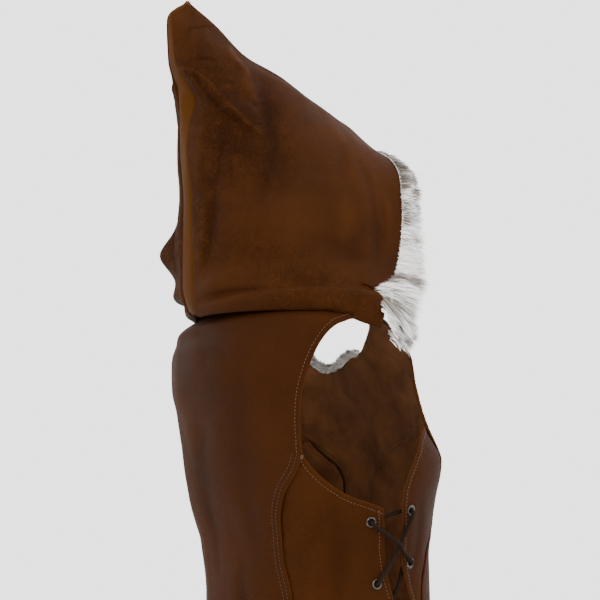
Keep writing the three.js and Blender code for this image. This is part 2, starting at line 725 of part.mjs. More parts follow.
const furReach = smooth(HOOD_FUR, "z", "reach");
const furThick = smooth(HOOD_FUR, "z", "thick");
const furLevels = hoodLevels.filter((row) => row >= FUR_FROM_ROW);
function faceFrame(side, row) {
  const edge = hoodPoint(side, row, 1);
  const on = edge.clone().sub(hoodPoint(side, row, 0.93)).normalize();
  const above = hoodPoint(side, Math.min(row + 0.05, HOOD.length - 1), 1);
  const up = above.sub(hoodPoint(side, Math.max(row - 0.05, 0), 1));
  const out = side < 0 ? on.clone().cross(up).normalize() : up.clone().cross(on).normalize();
  return { edge, on, out, reach: furReach(edge.z), thick: furThick(edge.z) };
}
function hoodFurFrames() {
  const left = furLevels.map((row) => faceFrame(1, row));
  const right = furLevels.map((row) => faceFrame(-1, row)).reverse();
  // Over the forehead the two sides' last frames become one.
  const top = left.pop();
  right.shift();
  top.edge.x = 0;
  for (const way of [top.on, top.out]) way.setX(0).normalize();
  const ends = (side) =>
    FUR_END.map(({ forward, z, half }) => ({
      edge: new THREE.Vector3(side * half, -forward, z),
      on: new THREE.Vector3(-side * 0.2, -0.98, 0).normalize(),
      out: new THREE.Vector3(side * 0.98, -0.2, 0).normalize(),
      reach: furReach(z),
      thick: furThick(z),
    }));
  return [...ends(1), ...left, top, ...right, ...ends(-1).reverse()];
}

// The neck's strip runs along the scoop from one strap to the other.
const NECK_FUR_FROM = { right: 8, left: 3 }; // places left bare at each end of the scoop
function neckFurFrames() {
  const scoop = [
    ...STRAP.map((rung) => ({ angle: rung.rightAngle, z: rung.rightZ })).reverse(),
    ...STRAP.slice(1).map((rung) => ({ angle: rung.leftAngle, z: rung.leftZ })),
  ];
  const top = scoop.map(({ angle, z }) => bodyPoint(angle, z));
  const columns = top.map((_, j) => j).slice(
    NECK_FUR_FROM.right, top.length - NECK_FUR_FROM.left,
  );
  return columns.map((j, k) => {
    const edge = top[j];
    const across = top[j + 1].clone().sub(top[j - 1]).normalize();
    const { angle, z } = scoop[j];
    const on = bodyNormal(angle, z).cross(across).normalize();
    const out = across.clone().cross(on).normalize();
    const atEnd = k === 0 || k === columns.length - 1;
    const { reach, thick } = NECK_FUR;
    return { edge, on, out, reach: atEnd ? reach * 0.7 : reach, thick: atEnd ? thick * 0.7 : thick };
  });
}

// ---------------------------------------------------------------- assembly
const mirror = (geometry) => {
  const copy = geometry.clone();
  copy.applyMatrix4(new THREE.Matrix4().makeScale(-1, 1, 1));
  const index = Array.from(copy.index ? copy.index.array
    : Array.from({ length: copy.attributes.position.count }, (_, i) => i));
  for (let i = 0; i < index.length; i += 3)
    [index[i + 1], index[i + 2]] = [index[i + 2], index[i + 1]];
  copy.setIndex(index);
  return copy;
};

const spots = new Map();
for (const row of places) {
  spots.set(row.side, onFacet(sideGrid, row.side));
  spots.set(row.front, onFacet(frontSideGrid, row.front));
}
const sidePanel = punched(bodySheet(sideGrid), places.map((row) => spots.get(row.side)));
const frontSide = punched(bodySheet(frontSideGrid), places.map((row) => spots.get(row.front)));
const lace = laceGeometry(spots);

addMesh("back_panel", bodySheet(backGrid), LEATHER);
addMesh("front_panel", bodySheet(frontBody, frontChest, strapRight, strapLeft), LEATHER);
addMesh("side_panel_right", sidePanel, LEATHER);
addMesh("side_panel_left", mirror(sidePanel), LEATHER);
addMesh("front_side_right", frontSide, LEATHER);
addMesh("front_side_left", mirror(frontSide), LEATHER);
addMesh("hood_side_right", hoodSheet(hoodGrid(-1), [0], true), HOOD_LEATHER);
addMesh("hood_side_left", hoodSheet(hoodGrid(1), [HOOD_COLUMNS], true), HOOD_LEATHER);
addMesh("hood_gusset", hoodSheet(gussetGrid, [0, 2], false), HOOD_LEATHER);
addMesh("hood_fur_trim", strip(hoodFurFrames()), FUR);
addMesh("neck_fur_trim", strip(neckFurFrames()), FUR);
places.forEach((row, i) => {
  for (const [edge, place] of [["side", row.side], ["front", row.front]]) {
    const eyelet = eyeletGeometry(spots.get(place));
    addMesh("grommet_" + edge + "_right_" + (i + 1), eyelet, NICKEL);
    addMesh("grommet_" + edge + "_left_" + (i + 1), mirror(eyelet), NICKEL);
  }
});
addMesh("lace_right", lace, LACE);
addMesh("lace_left", mirror(lace), LACE);

export default tunic;
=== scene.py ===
# A sleeveless leather tunic with a pointed hood edged in fur, laced at both sides.
import math

import bpy
import numpy as np
from mathutils import Matrix, Vector, kdtree


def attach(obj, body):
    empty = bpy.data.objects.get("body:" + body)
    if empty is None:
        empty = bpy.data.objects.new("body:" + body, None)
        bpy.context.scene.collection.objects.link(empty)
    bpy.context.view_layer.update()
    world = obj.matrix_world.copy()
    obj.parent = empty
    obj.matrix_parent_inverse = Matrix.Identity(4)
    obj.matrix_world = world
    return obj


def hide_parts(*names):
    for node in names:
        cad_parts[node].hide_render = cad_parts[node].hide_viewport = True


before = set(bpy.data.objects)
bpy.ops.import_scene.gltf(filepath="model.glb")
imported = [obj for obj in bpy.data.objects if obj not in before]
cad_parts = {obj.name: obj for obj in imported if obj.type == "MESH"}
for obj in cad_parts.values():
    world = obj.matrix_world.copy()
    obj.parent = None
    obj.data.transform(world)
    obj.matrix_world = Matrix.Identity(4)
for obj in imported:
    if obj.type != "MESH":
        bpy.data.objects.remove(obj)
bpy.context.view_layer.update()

MM = 0.001

# ---------------------------------------------------------------- camera
VIEW_AZIMUTH = 244  # degrees, seen from the wearer's right and a little from behind
VIEW_DISTANCE = 2.3
VIEW_HEIGHT = -0.296
VIEW_PITCH = 7.65
VIEW_YAW = 0.3
LENS = 123.1


def direction(azimuth, elevation=0):
    """The way from the part to a viewer: azimuth 0 is in front, 90 on the wearer's left."""
    a, e = math.radians(azimuth), math.radians(elevation)
    return Vector((math.sin(a) * math.cos(e), -math.cos(a) * math.cos(e), math.sin(e)))


back = direction(VIEW_AZIMUTH)
camera = bpy.data.objects.new("camera", bpy.data.cameras.new("camera"))
camera.data.sensor_width = 36
camera.data.lens = LENS
camera.data.clip_end = 100
bpy.context.scene.collection.objects.link(camera)
camera.location = back * VIEW_DISTANCE + Vector((0, 0, VIEW_HEIGHT))
look = Matrix.Rotation(math.radians(VIEW_YAW), 3, "Z") @ (-back)
look = (look + Vector((0, 0, math.tan(math.radians(VIEW_PITCH))))).normalized()
camera.rotation_mode = "QUATERNION"
camera.rotation_quaternion = look.to_track_quat("-Z", "Y")
bpy.context.scene.camera = camera


# ---------------------------------------------------------------- sizes and tables, in mm
def table(columns, *rows):
    return {name: np.array([row[i] for row in rows], float) for i, name in enumerate(columns)}


HEM_Z = -770
WAIST_UP_Z = -242
BACK_ARM_Z = -171
FRONT_ARM_Z = -137
SEAM_GAP = 0.3
LEATHER = 1.8
LACE_R = 2.2
EYELET_GAP, EYELET_FLANGE = 0.6, 0.9
BUST = {"angle": 38, "z": -168, "spread": 22, "height": 50, "out": 10}

RINGS = table(
    ["z", "wide", "front", "back", "ahead", "frontPower", "backPower"],
    [HEM_Z, 212, 172, 160, 0, 2.1, 2.15],
    [-640, 203, 165, 152, 0, 2.1, 2.15],
    [-520, 190, 152, 140, 0, 2.1, 2.15],
    [-430, 171, 134, 121, 0, 2.12, 2.2],
    [-360, 154, 121, 104.5, 0, 2.15, 2.2],
    [-310, 155, 118, 103, 0, 2.15, 2.2],
    [-260, 165, 114.5, 107, 0, 2.15, 2.2],
    [-210, 177, 117, 117.4, -4, 2.15, 2.2],
    [-170, 182, 120, 121, -8, 2.15, 2.2],
    [-135, 181, 110.5, 120, -14, 2.25, 2.2],
    [-115, 179, 109, 119.7, -18, 2.4, 2.2],
    [-90, 177, 103, 122.6, -22, 2.7, 2.2],
    [-60, 175, 93.5, 120.6, -25, 3.1, 2.2],
    [-48, 174, 81, 118, -26, 3.1, 2.2],
    [-36, 172, 69, 114, -26, 3.1, 2.2],
    [-27, 167, 65, 112, -27, 3, 2.2],
    [-20, 155, 60, 106, -27, 3, 2.2],
    [-13, 135, 53, 95, -28, 3, 2.2],
    [-7, 116, 46, 84, -28, 2.8, 2.2],
    [0, 95, 40, 72, -28, 2.6, 2.2],
)
BACK_BORDER = table(
    ["z", "angle"],
    [HEM_Z, -133], [-420, -133.5], [-323, -135.6], [-308, -136.9], [-280, -140.5],
    [-259, -141.4], [-244, -141.2], [-214, -137], [-185, -128.6], [-171, -126.3],
    [-144, -125.2], [-112, -121.9], [-92, -117.8], [-71, -113.5], [-52, -108.4],
    [-37, -101.9], [-31, -95.5], [-27, -90], [0, -90],
)
SIDE_LACE_EDGE = table(
    ["z", "angle"],
    [HEM_Z, -80], [-500, -80], [-420, -79.5], [-360, -79.3], [-322, -80.4], [-305, -83.1],
    [-289, -85.4], [-268, -87.7], [-226, -89.1],
)
FRONT_LACE_EDGE = table(
    ["z", "angle"],
    [HEM_Z, -72], [-500, -71.5], [-420, -69], [-360, -67.5], [-322, -68.7], [-313, -70.4],
    [-293, -74.1], [-276, -77.3], [-251, -78.2], [-218, -78.8], [-195, -75.6], [-173, -69.7],
    [-151, -61.9], [FRONT_ARM_Z, -52],
)
FRONT_BORDER = table(
    ["z", "angle"],
    [HEM_Z, -46], [-520, -48], [-420, -52], [-360, -56], [-323, -57.5], [-273, -50.2],
    [-242, -41], [-218, -37], [-190, -37.5], [-168, -41], [-153, -46], [FRONT_ARM_Z, -49.6],
    [-117, -50.6], [-91, -52.5], [-70, -51], [-54, -47.5], [-45, -45], [-38, -50],
    [-33, -60], [-30, -72], [-28, -84], [-27, -90], [0, -90],
)
ARM_LOW = table(
    ["angle", "z"],
    [-126.3, -171], [-122, -186], [-113.9, -203], [-104.5, -215], [-94.6, -222], [-88.8, -227],
)
STRAP = table(
    ["i", "armZ", "rightAngle", "rightZ", "leftAngle", "leftZ"],
    [0, FRONT_ARM_Z, 7, -55, 7, -55],
    [1, -115, -1, -47, 13.5, -58],
    [2, -91, -7.5, -38, 19, -58.5],
    [3, -70, -14, -30, 23, -51],
    [4, -54, -22, -22, 25, -38],
    [5, -45, -32, -14.5, 28.5, -25],
    [6, -38, -45, -9, 38, -14],
    [7, -33, -59, -5.5, 55, -7],
    [8, -30, -74, -2.5, 72, -3],
    [9, -27, -90, 0, 90, 0],
)
HOOD_KEYS = ["i", "backF", "backZ", "backHalf", "sideF", "sideZ", "wide", "frontF", "frontZ",
             "frontHalf", "power"]
HOOD = table(
    HOOD_KEYS,
    [0, -104, 3, 15, -30, 3, 97, 30, -9, 85, 2.1],
    [1, -128, -6, 15, -28, -7, 130, 22, -14, 114, 2],
    [2, -143, -13, 16, -12, -21, 162, 8, -24, 160, 1.9],
    [3, -150, -7, 16, -6, -14, 171, 2, -27, 172, 1.9],
    [4, -151, 6, 16, -6, -1, 168, 6, -13, 171, 1.9],
    [5, -151, 19, 16, -20, 16, 136, 20, 6, 146, 2],
    [6, -151.5, 38, 16, -30, 40, 118, 46, 30, 118, 2.2],
    [7, -153, 80, 15, -32, 80, 113, 60, 64, 105, 2.8],
    [8, -155, 125, 15, -32, 113, 108, 66, 100, 98, 2.5],
    [9, -158, 165, 15, -32, 143, 98, 71, 132, 87, 2.3],
    [10, -159, 205, 15, -32, 172, 84, 76, 157, 71, 2.2],
    [11, -161, 240, 14, -32, 199, 66, 80, 174, 50, 2.1],
    [12, -171, 275, 10, -32, 224, 47, 82, 183, 28, 2],
    [13, -174, 308, 6, -32, 244, 26, 83, 187, 12, 2],
    [14, -153, 336, 0.2, -32, 259, 0.2, 83, 188.5, 0.2, 2],
)
HOOD_TOP = 14
HOOD_FOLDS = table(
    ["side", "from", "fromZ", "to", "toZ", "half", "out"],
    [-1, 0.02, 256, 0.3, 200, 13, 5],
    [-1, 0.4, 245, 0.33, 120, 18, -6],
    [-1, 0.12, 125, 0.08, 40, 14, -4],
    [-1, 0.7, 120, 0.76, 30, 24, 3],
    [1, 0.2, 64, 0.3, 60, 21, 20],
    [1, 0.04, 240, 0.3, 185, 14, 5],
    [1, 0.42, 230, 0.36, 110, 18, -5],
)
FOLD_SPAN = 260
HOOD_FUR = table(
    ["z", "reach", "thick"],
    [-50, 16, 8], [-37, 27, 12], [-22, 36, 15], [-8, 38, 17], [20, 34, 18], [60, 28, 18],
    [200, 27, 18],
)
FUR_END = ([27, -49, 160], [22, -36, 167], [12, -22, 172])  # forward, up, sideways
NECK_FUR = {"reach": 19, "thick": 13}
EYELET_ROWS = ([-241, -228], [-305, -283], [-369, -347], [-433, -411])  # side, front
SIDE_EYELET_IN = 15.5
FRONT_EYELET_IN = 13.5

# Main creases: a line from one place to another on the cloth (mm round and up), half width,
# how far it stands out (or sinks in) and how far it bows sideways.
CREASE_COLUMNS = ["u0", "v0", "u1", "v1", "half", "out", "bow"]
BACK_CREASES = table(
    CREASE_COLUMNS,
    [-470, -150, -455, -270, 15, -2.2, 6],
    [-500, -300, -478, -420, 17, -2.4, -8],
    [-430, -60, -446, -150, 20, 1.6, 5],
    [-545, -95, -530, -230, 24, -1.8, 8],
    [-405, -210, -414, -330, 14, 1.7, -5],
    [-452, -360, -440, -520, 16, 1.8, 6],
    [-572, -330, -560, -470, 18, -2.0, 6],
    [-622, -180, -610, -330, 20, -2.1, -9],
    [-520, -520, -508, -730, 24, 2.6, 9],
    [-415, -560, -400, -750, 22, -2.6, -7],
    [-610, -540, -622, -745, 22, -2.4, 8],
    [-480, -34, -520, -60, 16, -1.5, 5],
)
SIDE_CREASES = table(
    CREASE_COLUMNS,
    [-296, -232, -290, -330, 15, -1.6, 6],
    [-322, -300, -330, -400, 14, 1.4, -5],
    [-262, -330, -272, -455, 13, -1.3, 5],
    [-312, -440, -300, -620, 18, -2.0, 8],
    [-262, -560, -256, -740, 18, 2.0, -7],
    [-336, -590, -330, -760, 14, 1.5, 5],
)
FRONT_SIDE_CREASES = table(
    CREASE_COLUMNS,
    [-168, -215, -176, -300, 11, -1.2, 5],
    [-150, -330, -158, -440, 12, 1.1, -4],
    [-165, -470, -158, -620, 13, -1.5, 5],
    [-150, -600, -146, -750, 12, 1.3, 4],
)
FRONT_CREASES = table(
    CREASE_COLUMNS,
    [-60, -95, -95, -140, 16, -1.4, 6],
    [70, -100, 98, -150, 15, -1.5, -6],
    [-30, -200, -46, -330, 18, -1.8, 7],
    [40, -225, 52, -350, 17, -1.7, -8],
    [-88, -250, -100, -380, 14, 1.3, 5],
    [96, -260, 104, -390, 14, 1.3, -5],
    [0, -390, 8, -560, 20, -2.2, 8],
    [-70, -470, -64, -640, 18, 1.9, -7],
    [66, -500, 72, -700, 18, 2.0, 7],
    [-24, -610, -30, -760, 20, 2.2, 6],
    [30, -640, 34, -765, 16, -1.9, -5],
    [-8, -85, 10, -120, 22, -1.6, 6],
)
HOOD_CREASES = {
    -1: table(
        CREASE_COLUMNS,
        [8, 258, 34, 254, 2.6, 2.4, 1],
        [34, 254, 58, 222, 2.3, 3.3, 1],
        [58, 222, 86, 180, 2.7, 2.9, -1],
        [30, 250, 72, 192, 5, -2.6, -5],
        [34, 267, 62, 268, 2.2, -1.6, 1],
        [81, 293, 90, 262, 4.5, 2.4, -2],
        [90, 262, 90, 215, 6.5, 2.6, -3],
        [90, 215, 86, 150, 9, 1.8, 2],
        [103, 246, 96, 178, 10, -3.2, -3],
        [96, 178, 84, 112, 12, -2.6, 4],
        [54, 196, 40, 136, 6, -1.8, 4],
        [40, 136, 14, 122, 5, -1.2, 3],
        [34, 120, 18, 40, 6, -2.0, -3],
        [24, 118, 8, 36, 7, 1.4, -3],
        [28, 200, 12, 134, 7, 1.3, 3],
        [2, 27, 27, 25, 1.6, 1.3, 1],
        [30, 292, 66, 311, 2.0, -1.2, 2],
        [20, 278, 44, 300, 1.8, -0.9, -1],
        [70, 236, 70, 214, 3, -1.0, 2],
        [76, 220, 92, 192, 3, 1.1, 2],
        [114, 120, 100, 44, 16, 1.5, 5],
        [168, 214, 176, 176, 12, 1.2, -4],
        [176, 176, 150, 118, 12, -1.3, -5],
        [150, 120, 150, 60, 22, 1.8, 8],
        [206, 96, 214, 40, 12, -1.8, 5],
        [130, 60, 190, 44, 11, -1.6, -6],
        [228, 120, 236, 70, 7, 1.2, 3],
        [192, 150, 206, 104, 9, -1.1, 4],
    ),
    1: table(
        CREASE_COLUMNS,
        [8, 250, 40, 240, 3, 1.9, -2],
        [40, 240, 74, 192, 3.2, 2.2, 3],
        [14, 236, 68, 190, 6, -1.6, 6],
        [76, 286, 88, 210, 7, 2.3, 4],
        [108, 238, 96, 105, 12, -2.8, 6],
        [48, 190, 40, 118, 8, -1.8, -4],
        [30, 124, 16, 44, 6, -1.8, 3],
        [24, 300, 58, 306, 2.2, -1.2, -2],
        [60, 150, 92, 128, 3, -0.9, 3],
        [150, 130, 156, 62, 22, 1.7, -8],
        [204, 100, 212, 44, 12, -1.6, 5],
        [124, 74, 168, 60, 12, -1.3, 6],
        [170, 200, 180, 150, 10, 1.2, 4],
        [226, 118, 232, 66, 7, 1.1, -3],
    ),
}
BUST_SEAM = table(  # a curved seam on the inside of the front, as angles and heights
    ["i", "angle", "z"],
    [0, -25, -131], [1, -10, -138], [2, 1.8, -146.5], [3, 13.5, -165.5], [4, 19.8, -195],
    [5, 23, -224.5],
)
ROLL_LINE = table(  # the crease above the roll on the shoulder: place (0 back to 1 face), section
    ["t", "row"], [-0.1, 3.4], [0, 3.5], [0.1, 3.75], [0.2, 4.05], [0.3, 4.35], [0.5, 4.7],
    [0.7, 4.8], [0.9, 4.95], [1.1, 5.1])


# ---------------------------------------------------------------- curves and surfaces
def smooth(rows, key, value):
    """A smooth curve through a table's column that never overshoots its rows."""
    x, y = rows[key], rows[value]
    h = np.diff(x)
    slope = np.diff(y) / h
    tangent = np.empty_like(y)
    tangent[0], tangent[-1] = slope[0], slope[-1]
    a, b = slope[:-1], slope[1:]
    wa, wb = 2 * h[1:] + h[:-1], h[1:] + 2 * h[:-1]
    with np.errstate(divide="ignore", invalid="ignore"):
        tangent[1:-1] = np.where(a * b <= 0, 0, (wa + wb) / (wa / a + wb / b))

    def at(value):
        v = np.clip(np.asarray(value, float), x[0], x[-1])
        i = np.clip(np.searchsorted(x, v, side="left") - 1, 0, len(x) - 2)
        t = (v - x[i]) / h[i]
        s = 1 - t
        return (
            (1 + 2 * t) * s * s * y[i] + t * s * s * h[i] * tangent[i]
            + t * t * (3 - 2 * t) * y[i + 1] - t * t * s * h[i] * tangent[i + 1]
        )

    return at


def lerp(a, b, t):
    return a + (b - a) * t


def smoothstep(v, a, b):
    t = np.clip((v - a) / (b - a), 0, 1)
    return t * t * (3 - 2 * t)


def power(v, p):
    return np.sign(v) * np.abs(v) ** p


def unit(v):
    return v / np.maximum(np.linalg.norm(v, axis=-1, keepdims=True), 1e-9)


def hump(v, centre, half):
    """1 at the centre and falling off to both sides over that half width."""
    return np.exp(-(((v - centre) / half) ** 2))


def distances(points):
    """The distance of each point along its line, from the first one."""
    return np.r_[0, np.cumsum(np.linalg.norm(np.diff(points, axis=0), axis=1))]


def interpolate(want, at, rows):
    return np.stack([np.interp(want, at, rows[:, k]) for k in range(rows.shape[1])], -1)


def noise(u, v, scale, seed):
    """Soft lumps between -1 and 1 on a lattice of that scale."""
    lattice = np.random.default_rng(seed).uniform(-1, 1, (64, 64))
    x, y = np.asarray(u) / scale, np.asarray(v) / scale
    i, j = np.floor(x).astype(int), np.floor(y).astype(int)
    f, g = x - i, y - j
    f, g = f * f * (3 - 2 * f), g * g * (3 - 2 * g)
    at = lambda p, q: lattice[p % 64, q % 64]
    return lerp(lerp(at(i, j), at(i + 1, j), f), lerp(at(i, j + 1), at(i + 1, j + 1), f), g)


RING = {name: smooth(RINGS, "z", name)
        for name in ("wide", "front", "back", "ahead", "frontPower", "backPower")}
back_border = smooth(BACK_BORDER, "z", "angle")
front_border = smooth(FRONT_BORDER, "z", "angle")
side_lace_edge = smooth(SIDE_LACE_EDGE, "z", "angle")
front_lace_edge = smooth(FRONT_LACE_EDGE, "z", "angle")
arm_low = smooth(ARM_LOW, "angle", "z")
strap = {name: smooth(STRAP, "i", name) for name in STRAP if name != "i"}


def body(angle, z):
    angle, z = np.broadcast_arrays(np.asarray(angle, float), np.asarray(z, float))
    s, c = np.sin(np.radians(angle)), np.cos(np.radians(angle))
    n = np.where(c >= 0, RING["frontPower"](z), RING["backPower"](z))
    depth = np.where(c >= 0, RING["front"](z), RING["back"](z))
    x = RING["wide"](z) * power(s, 2 / n)
    ahead = RING["ahead"](z) + depth * power(c, 2 / n)
    wrapped = (angle + 180) % 360 - 180
    for side in (-1, 1):
        across = (wrapped - side * BUST["angle"]) / BUST["spread"]
        up = (z - BUST["z"]) / BUST["height"]
        out = BUST["out"] * np.exp(-across * across - up * up)
        x = x + side * 0.45 * out
        ahead = ahead + out
    return np.stack([x, -ahead, z], -1)


def body_normal(angle, z):
    across = body(angle + 0.5, z) - body(angle - 0.5, z)
    up = body(angle, z + 1) - body(angle, z - 1)
    return unit(np.cross(across, up))


def along_ring(angle, z, distance):
    """The angle a given distance along the ring from another one."""
    steps = max(1, int(np.max(np.abs(distance)) / 0.5))
    for _ in range(steps):
        speed = np.linalg.norm(body(angle + 0.05, z) - body(angle - 0.05, z), axis=-1) / 0.1
        angle = angle + distance / steps / speed
    return angle


def creases(rows, u, v):
    out = np.zeros_like(np.asarray(u, float))
    for u0, v0, u1, v1, half, height, bow in zip(*(rows[name] for name in CREASE_COLUMNS)):
        du, dv = u1 - u0, v1 - v0
        length = math.hypot(du, dv)
        t = np.clip(((u - u0) * du + (v - v0) * dv) / length**2, 0, 1)
        side = ((u - u0) * -dv + (v - v0) * du) / length - bow * 4 * t * (1 - t)
        along = np.maximum(0, np.abs(((u - u0) * du + (v - v0) * dv) / length - length / 2)
                           - length / 2)
        wide = half * (0.6 + 0.4 * np.sin(math.pi * t))
        out += height * np.exp(-((side / wide) ** 2) - (along / (1.3 * half)) ** 2) * (
            0.35 + 0.65 * np.sin(math.pi * (0.08 + 0.84 * t)))
    return out


hood_at = {name: smooth(HOOD, "i", name) for name in HOOD_KEYS if name != "i"}


def hood_folds(side, t, z):
    out = np.zeros_like(z)
    for k in np.flatnonzero(HOOD_FOLDS["side"] == side):
        f = {name: HOOD_FOLDS[name][k] for name in HOOD_FOLDS}
        ax, ay, bx, by = f["from"] * FOLD_SPAN, f["fromZ"], f["to"] * FOLD_SPAN, f["toZ"]
        dx, dy = bx - ax, by - ay
        x = t * FOLD_SPAN
        along = np.clip(((x - ax) * dx + (z - ay) * dy) / (dx * dx + dy * dy), 0, 1)
        away = np.hypot(x - ax - along * dx, z - ay - along * dy) / f["half"]
        edge = np.minimum(1, np.minimum(t / 0.08, (1 - t) / 0.08))
        out += f["out"] * np.exp(-away * away) * edge
    return out


HOOD_TUCK = table(  # how far the left lower back corner is tucked in toward the neck
    ["row", "inward"], [0, 4], [1, 12], [2, 18], [3, 16], [4, 8], [5, 2], [6, 2], [7, 6], [8, 10],
    [9, 9], [10, 6], [11, 3], [12, 0])
TUCK_LIFT = 0.3
TUCK_AT_GUSSET = 0.45
hood_tuck = smooth(HOOD_TUCK, "row", "inward")


def tuck_at(side, row, t):
    if side < 0:
        return 0 * row
    share = lerp(TUCK_AT_GUSSET, 1, smoothstep(t, 0, 0.12)) * (1 - smoothstep(t, 0.2, 0.5))
    return hood_tuck(row) * share


def hood(side, row, t):
    row, t = np.broadcast_arrays(np.asarray(row, float), np.asarray(t, float))
    r = {name: at(row) for name, at in hood_at.items()}
    turn = np.minimum(1, t / 0.5) * (math.pi / 2)
    s = np.clip((t - 0.5) / 0.5, 0, 1)
    behind = t < 0.5
    half = np.where(
        behind, r["backHalf"] + (r["wide"] - r["backHalf"]) * power(np.sin(turn), 2 / r["power"]),
        lerp(r["wide"], r["frontHalf"], s * s))
    forward = np.where(
        behind, r["sideF"] - (r["sideF"] - r["backF"])
        * power(np.maximum(np.cos(turn), 0), 2 / r["power"]),
        lerp(r["sideF"], r["frontF"], s))
    # The height runs smoothly through the section's three named places.
    a, b, c = r["backF"], r["sideF"], r["frontF"]
    rear, ahead = (r["sideZ"] - r["backZ"]) / (b - a), (r["frontZ"] - r["sideZ"]) / (c - b)
    w0, w1 = 2 * (c - b) + (b - a), (c - b) + 2 * (b - a)
    with np.errstate(divide="ignore", invalid="ignore"):
        mid = np.where(rear * ahead <= 0, 0, (w0 + w1) / (w0 / rear + w1 / ahead))
    x0, x1 = np.where(behind, a, b), np.where(behind, b, c)
    z0, z1 = np.where(behind, r["backZ"], r["sideZ"]), np.where(behind, r["sideZ"], r["frontZ"])
    m0, m1 = np.where(behind, rear, mid), np.where(behind, mid, ahead)
    k = (forward - x0) / (x1 - x0)
    z = ((1 + 2 * k) * (1 - k) ** 2 * z0 + k * (1 - k) ** 2 * (x1 - x0) * m0
         + k * k * (3 - 2 * k) * z1 - k * k * (1 - k) * (x1 - x0) * m1)
    tuck = tuck_at(side, row, t)
    out = np.where((row > 5) & (row < HOOD_TOP - 0.4), hood_folds(side, t, z), 0) - tuck
    return np.stack([side * (half + out * np.sin(turn)), -(forward - out * np.cos(turn)),
                     z + TUCK_LIFT * tuck], -1)


# ---------------------------------------------------------------- meshes
def grid_ids(shape):
    return np.arange(shape[0] * shape[1]).reshape(shape)


def mirrored(points, faces):
    """The same mesh on the other side of x = 0."""
    return points * [-1, 1, 1], faces[:, ::-1]


def repeated(faces, count, stride):
    """The faces of one small mesh for `count` of them in a row."""
    return (faces[None] + (np.arange(count) * stride)[:, None, None]).reshape(-1, 3)


def grid_triangles(ids):
    a, b, c, d = ids[:-1, :-1], ids[:-1, 1:], ids[1:, 1:], ids[1:, :-1]
    both = np.concatenate([np.stack([a, b, c], -1).reshape(-1, 3),
                           np.stack([a, c, d], -1).reshape(-1, 3)])
    a, b, c = both.T
    return both[(a != b) & (b != c) & (a != c)]


def weld(grids):
    """Welds grids of places that share borders into one list of places and triangles."""
    flat = np.concatenate([g.reshape(-1, 2) for g in grids])
    _, first, ids = np.unique(np.round(flat, 5), axis=0, return_index=True, return_inverse=True)
    ids = ids.reshape(-1)
    triangles, start = [], 0
    for g in grids:
        count = g.shape[0] * g.shape[1]
        triangles.append(grid_triangles(ids[start:start + count].reshape(g.shape[:2])))
        start += count
    return flat[first], np.concatenate(triangles)


def vertex_normals(points, triangles):
    a, b, c = (points[triangles[:, k]] for k in range(3))
    face = np.cross(b - a, c - a)
    normals = np.zeros_like(points)
    for k in range(3):
        np.add.at(normals, triangles[:, k], face)
    return unit(normals)


def make_object(name, points_mm, faces, materials, material_index=None, attributes=None,
                sharp=None):
    mesh = bpy.data.meshes.new(name)
    faces = np.asarray(faces)
    count, sides = faces.shape
    mesh.vertices.add(len(points_mm))
    mesh.vertices.foreach_set("co", (np.asarray(points_mm) * MM).astype(np.float32).ravel())
    mesh.loops.add(count * sides)
    mesh.loops.foreach_set("vertex_index", faces.astype(np.int32).ravel())
    mesh.polygons.add(count)
    mesh.polygons.foreach_set("loop_start", np.arange(0, count * sides, sides, dtype=np.int32))
    mesh.update(calc_edges=True)
    mesh.validate()
    for material in materials:
        mesh.materials.append(material)
    if material_index is not None:
        mesh.polygons.foreach_set("material_index", np.asarray(material_index, np.int32))
    mesh.polygons.foreach_set("use_smooth", np.ones(len(mesh.polygons), bool))
    if sharp is not None:
        mesh.set_sharp_from_angle(angle=math.radians(sharp))
    for key, values in (attributes or {}).items():
        mesh.attributes.new(key, "FLOAT", "POINT").data.foreach_set(
            "value", np.asarray(values, np.float32))
    mesh.update()
    thing = bpy.data.objects.new(name, mesh)
    bpy.context.scene.collection.objects.link(thing)
    return thing


def shell(name, points, triangles, outside, inside, thickness=LEATHER, attributes=None,
          upright=None):
    """A thin wall behind its outer points. `upright` marks points set back square to x = 0."""
    normals = vertex_normals(points, triangles)
    if upright is not None:
        normals[upright, 0] = 0
        normals = unit(normals)
    count = len(points)
    inner = points - normals * np.broadcast_to(thickness, count)[:, None]
    edges = np.concatenate([triangles[:, [0, 1]], triangles[:, [1, 2]], triangles[:, [2, 0]]])
    code = edges[:, 0] * count + edges[:, 1]
    rim = edges[~np.isin(code, edges[:, 1] * count + edges[:, 0])]
    a, b = rim[:, 0], rim[:, 1]
    faces = np.concatenate([
        triangles, triangles[:, ::-1] + count,
        np.stack([b, a, a + count], -1), np.stack([b, a + count, b + count], -1)])
    slot = np.concatenate([np.zeros(len(triangles)), np.ones(len(triangles)),
                           np.zeros(2 * len(rim))])
    both = {key: np.tile(values, 2) for key, values in (attributes or {}).items()}
    return make_object(name, np.concatenate([points, inner]), faces, [outside, inside], slot,
                       both, sharp=55)


def tree_of(points):
    tree = kdtree.KDTree(len(points))
    for i, p in enumerate(points):
        tree.insert(p, i)
    tree.balance()
    return tree


def distance_to(points, tree):
    return np.array([tree.find(p)[2] for p in points])


def dense(angle, z, pitch=0.7):
    """The same line of places with points about `pitch` mm apart, as angles and heights."""
    p = body(angle, z)
    s = distances(p)
    want = np.linspace(0, s[-1], max(2, int(s[-1] / pitch)))
    return np.interp(want, s, angle), np.interp(want, s, z)


# ---------------------------------------------------------------- materials
def nodes_of(name):
    material = bpy.data.materials.new(name)
    material.use_nodes = True
    tree = material.node_tree
    tree.nodes.clear()
    output = tree.nodes.new("ShaderNodeOutputMaterial")
    shader = tree.nodes.new("ShaderNodeBsdfPrincipled")
    tree.links.new(shader.outputs["BSDF"], output.inputs["Surface"])
    return material, Nodes(tree), shader


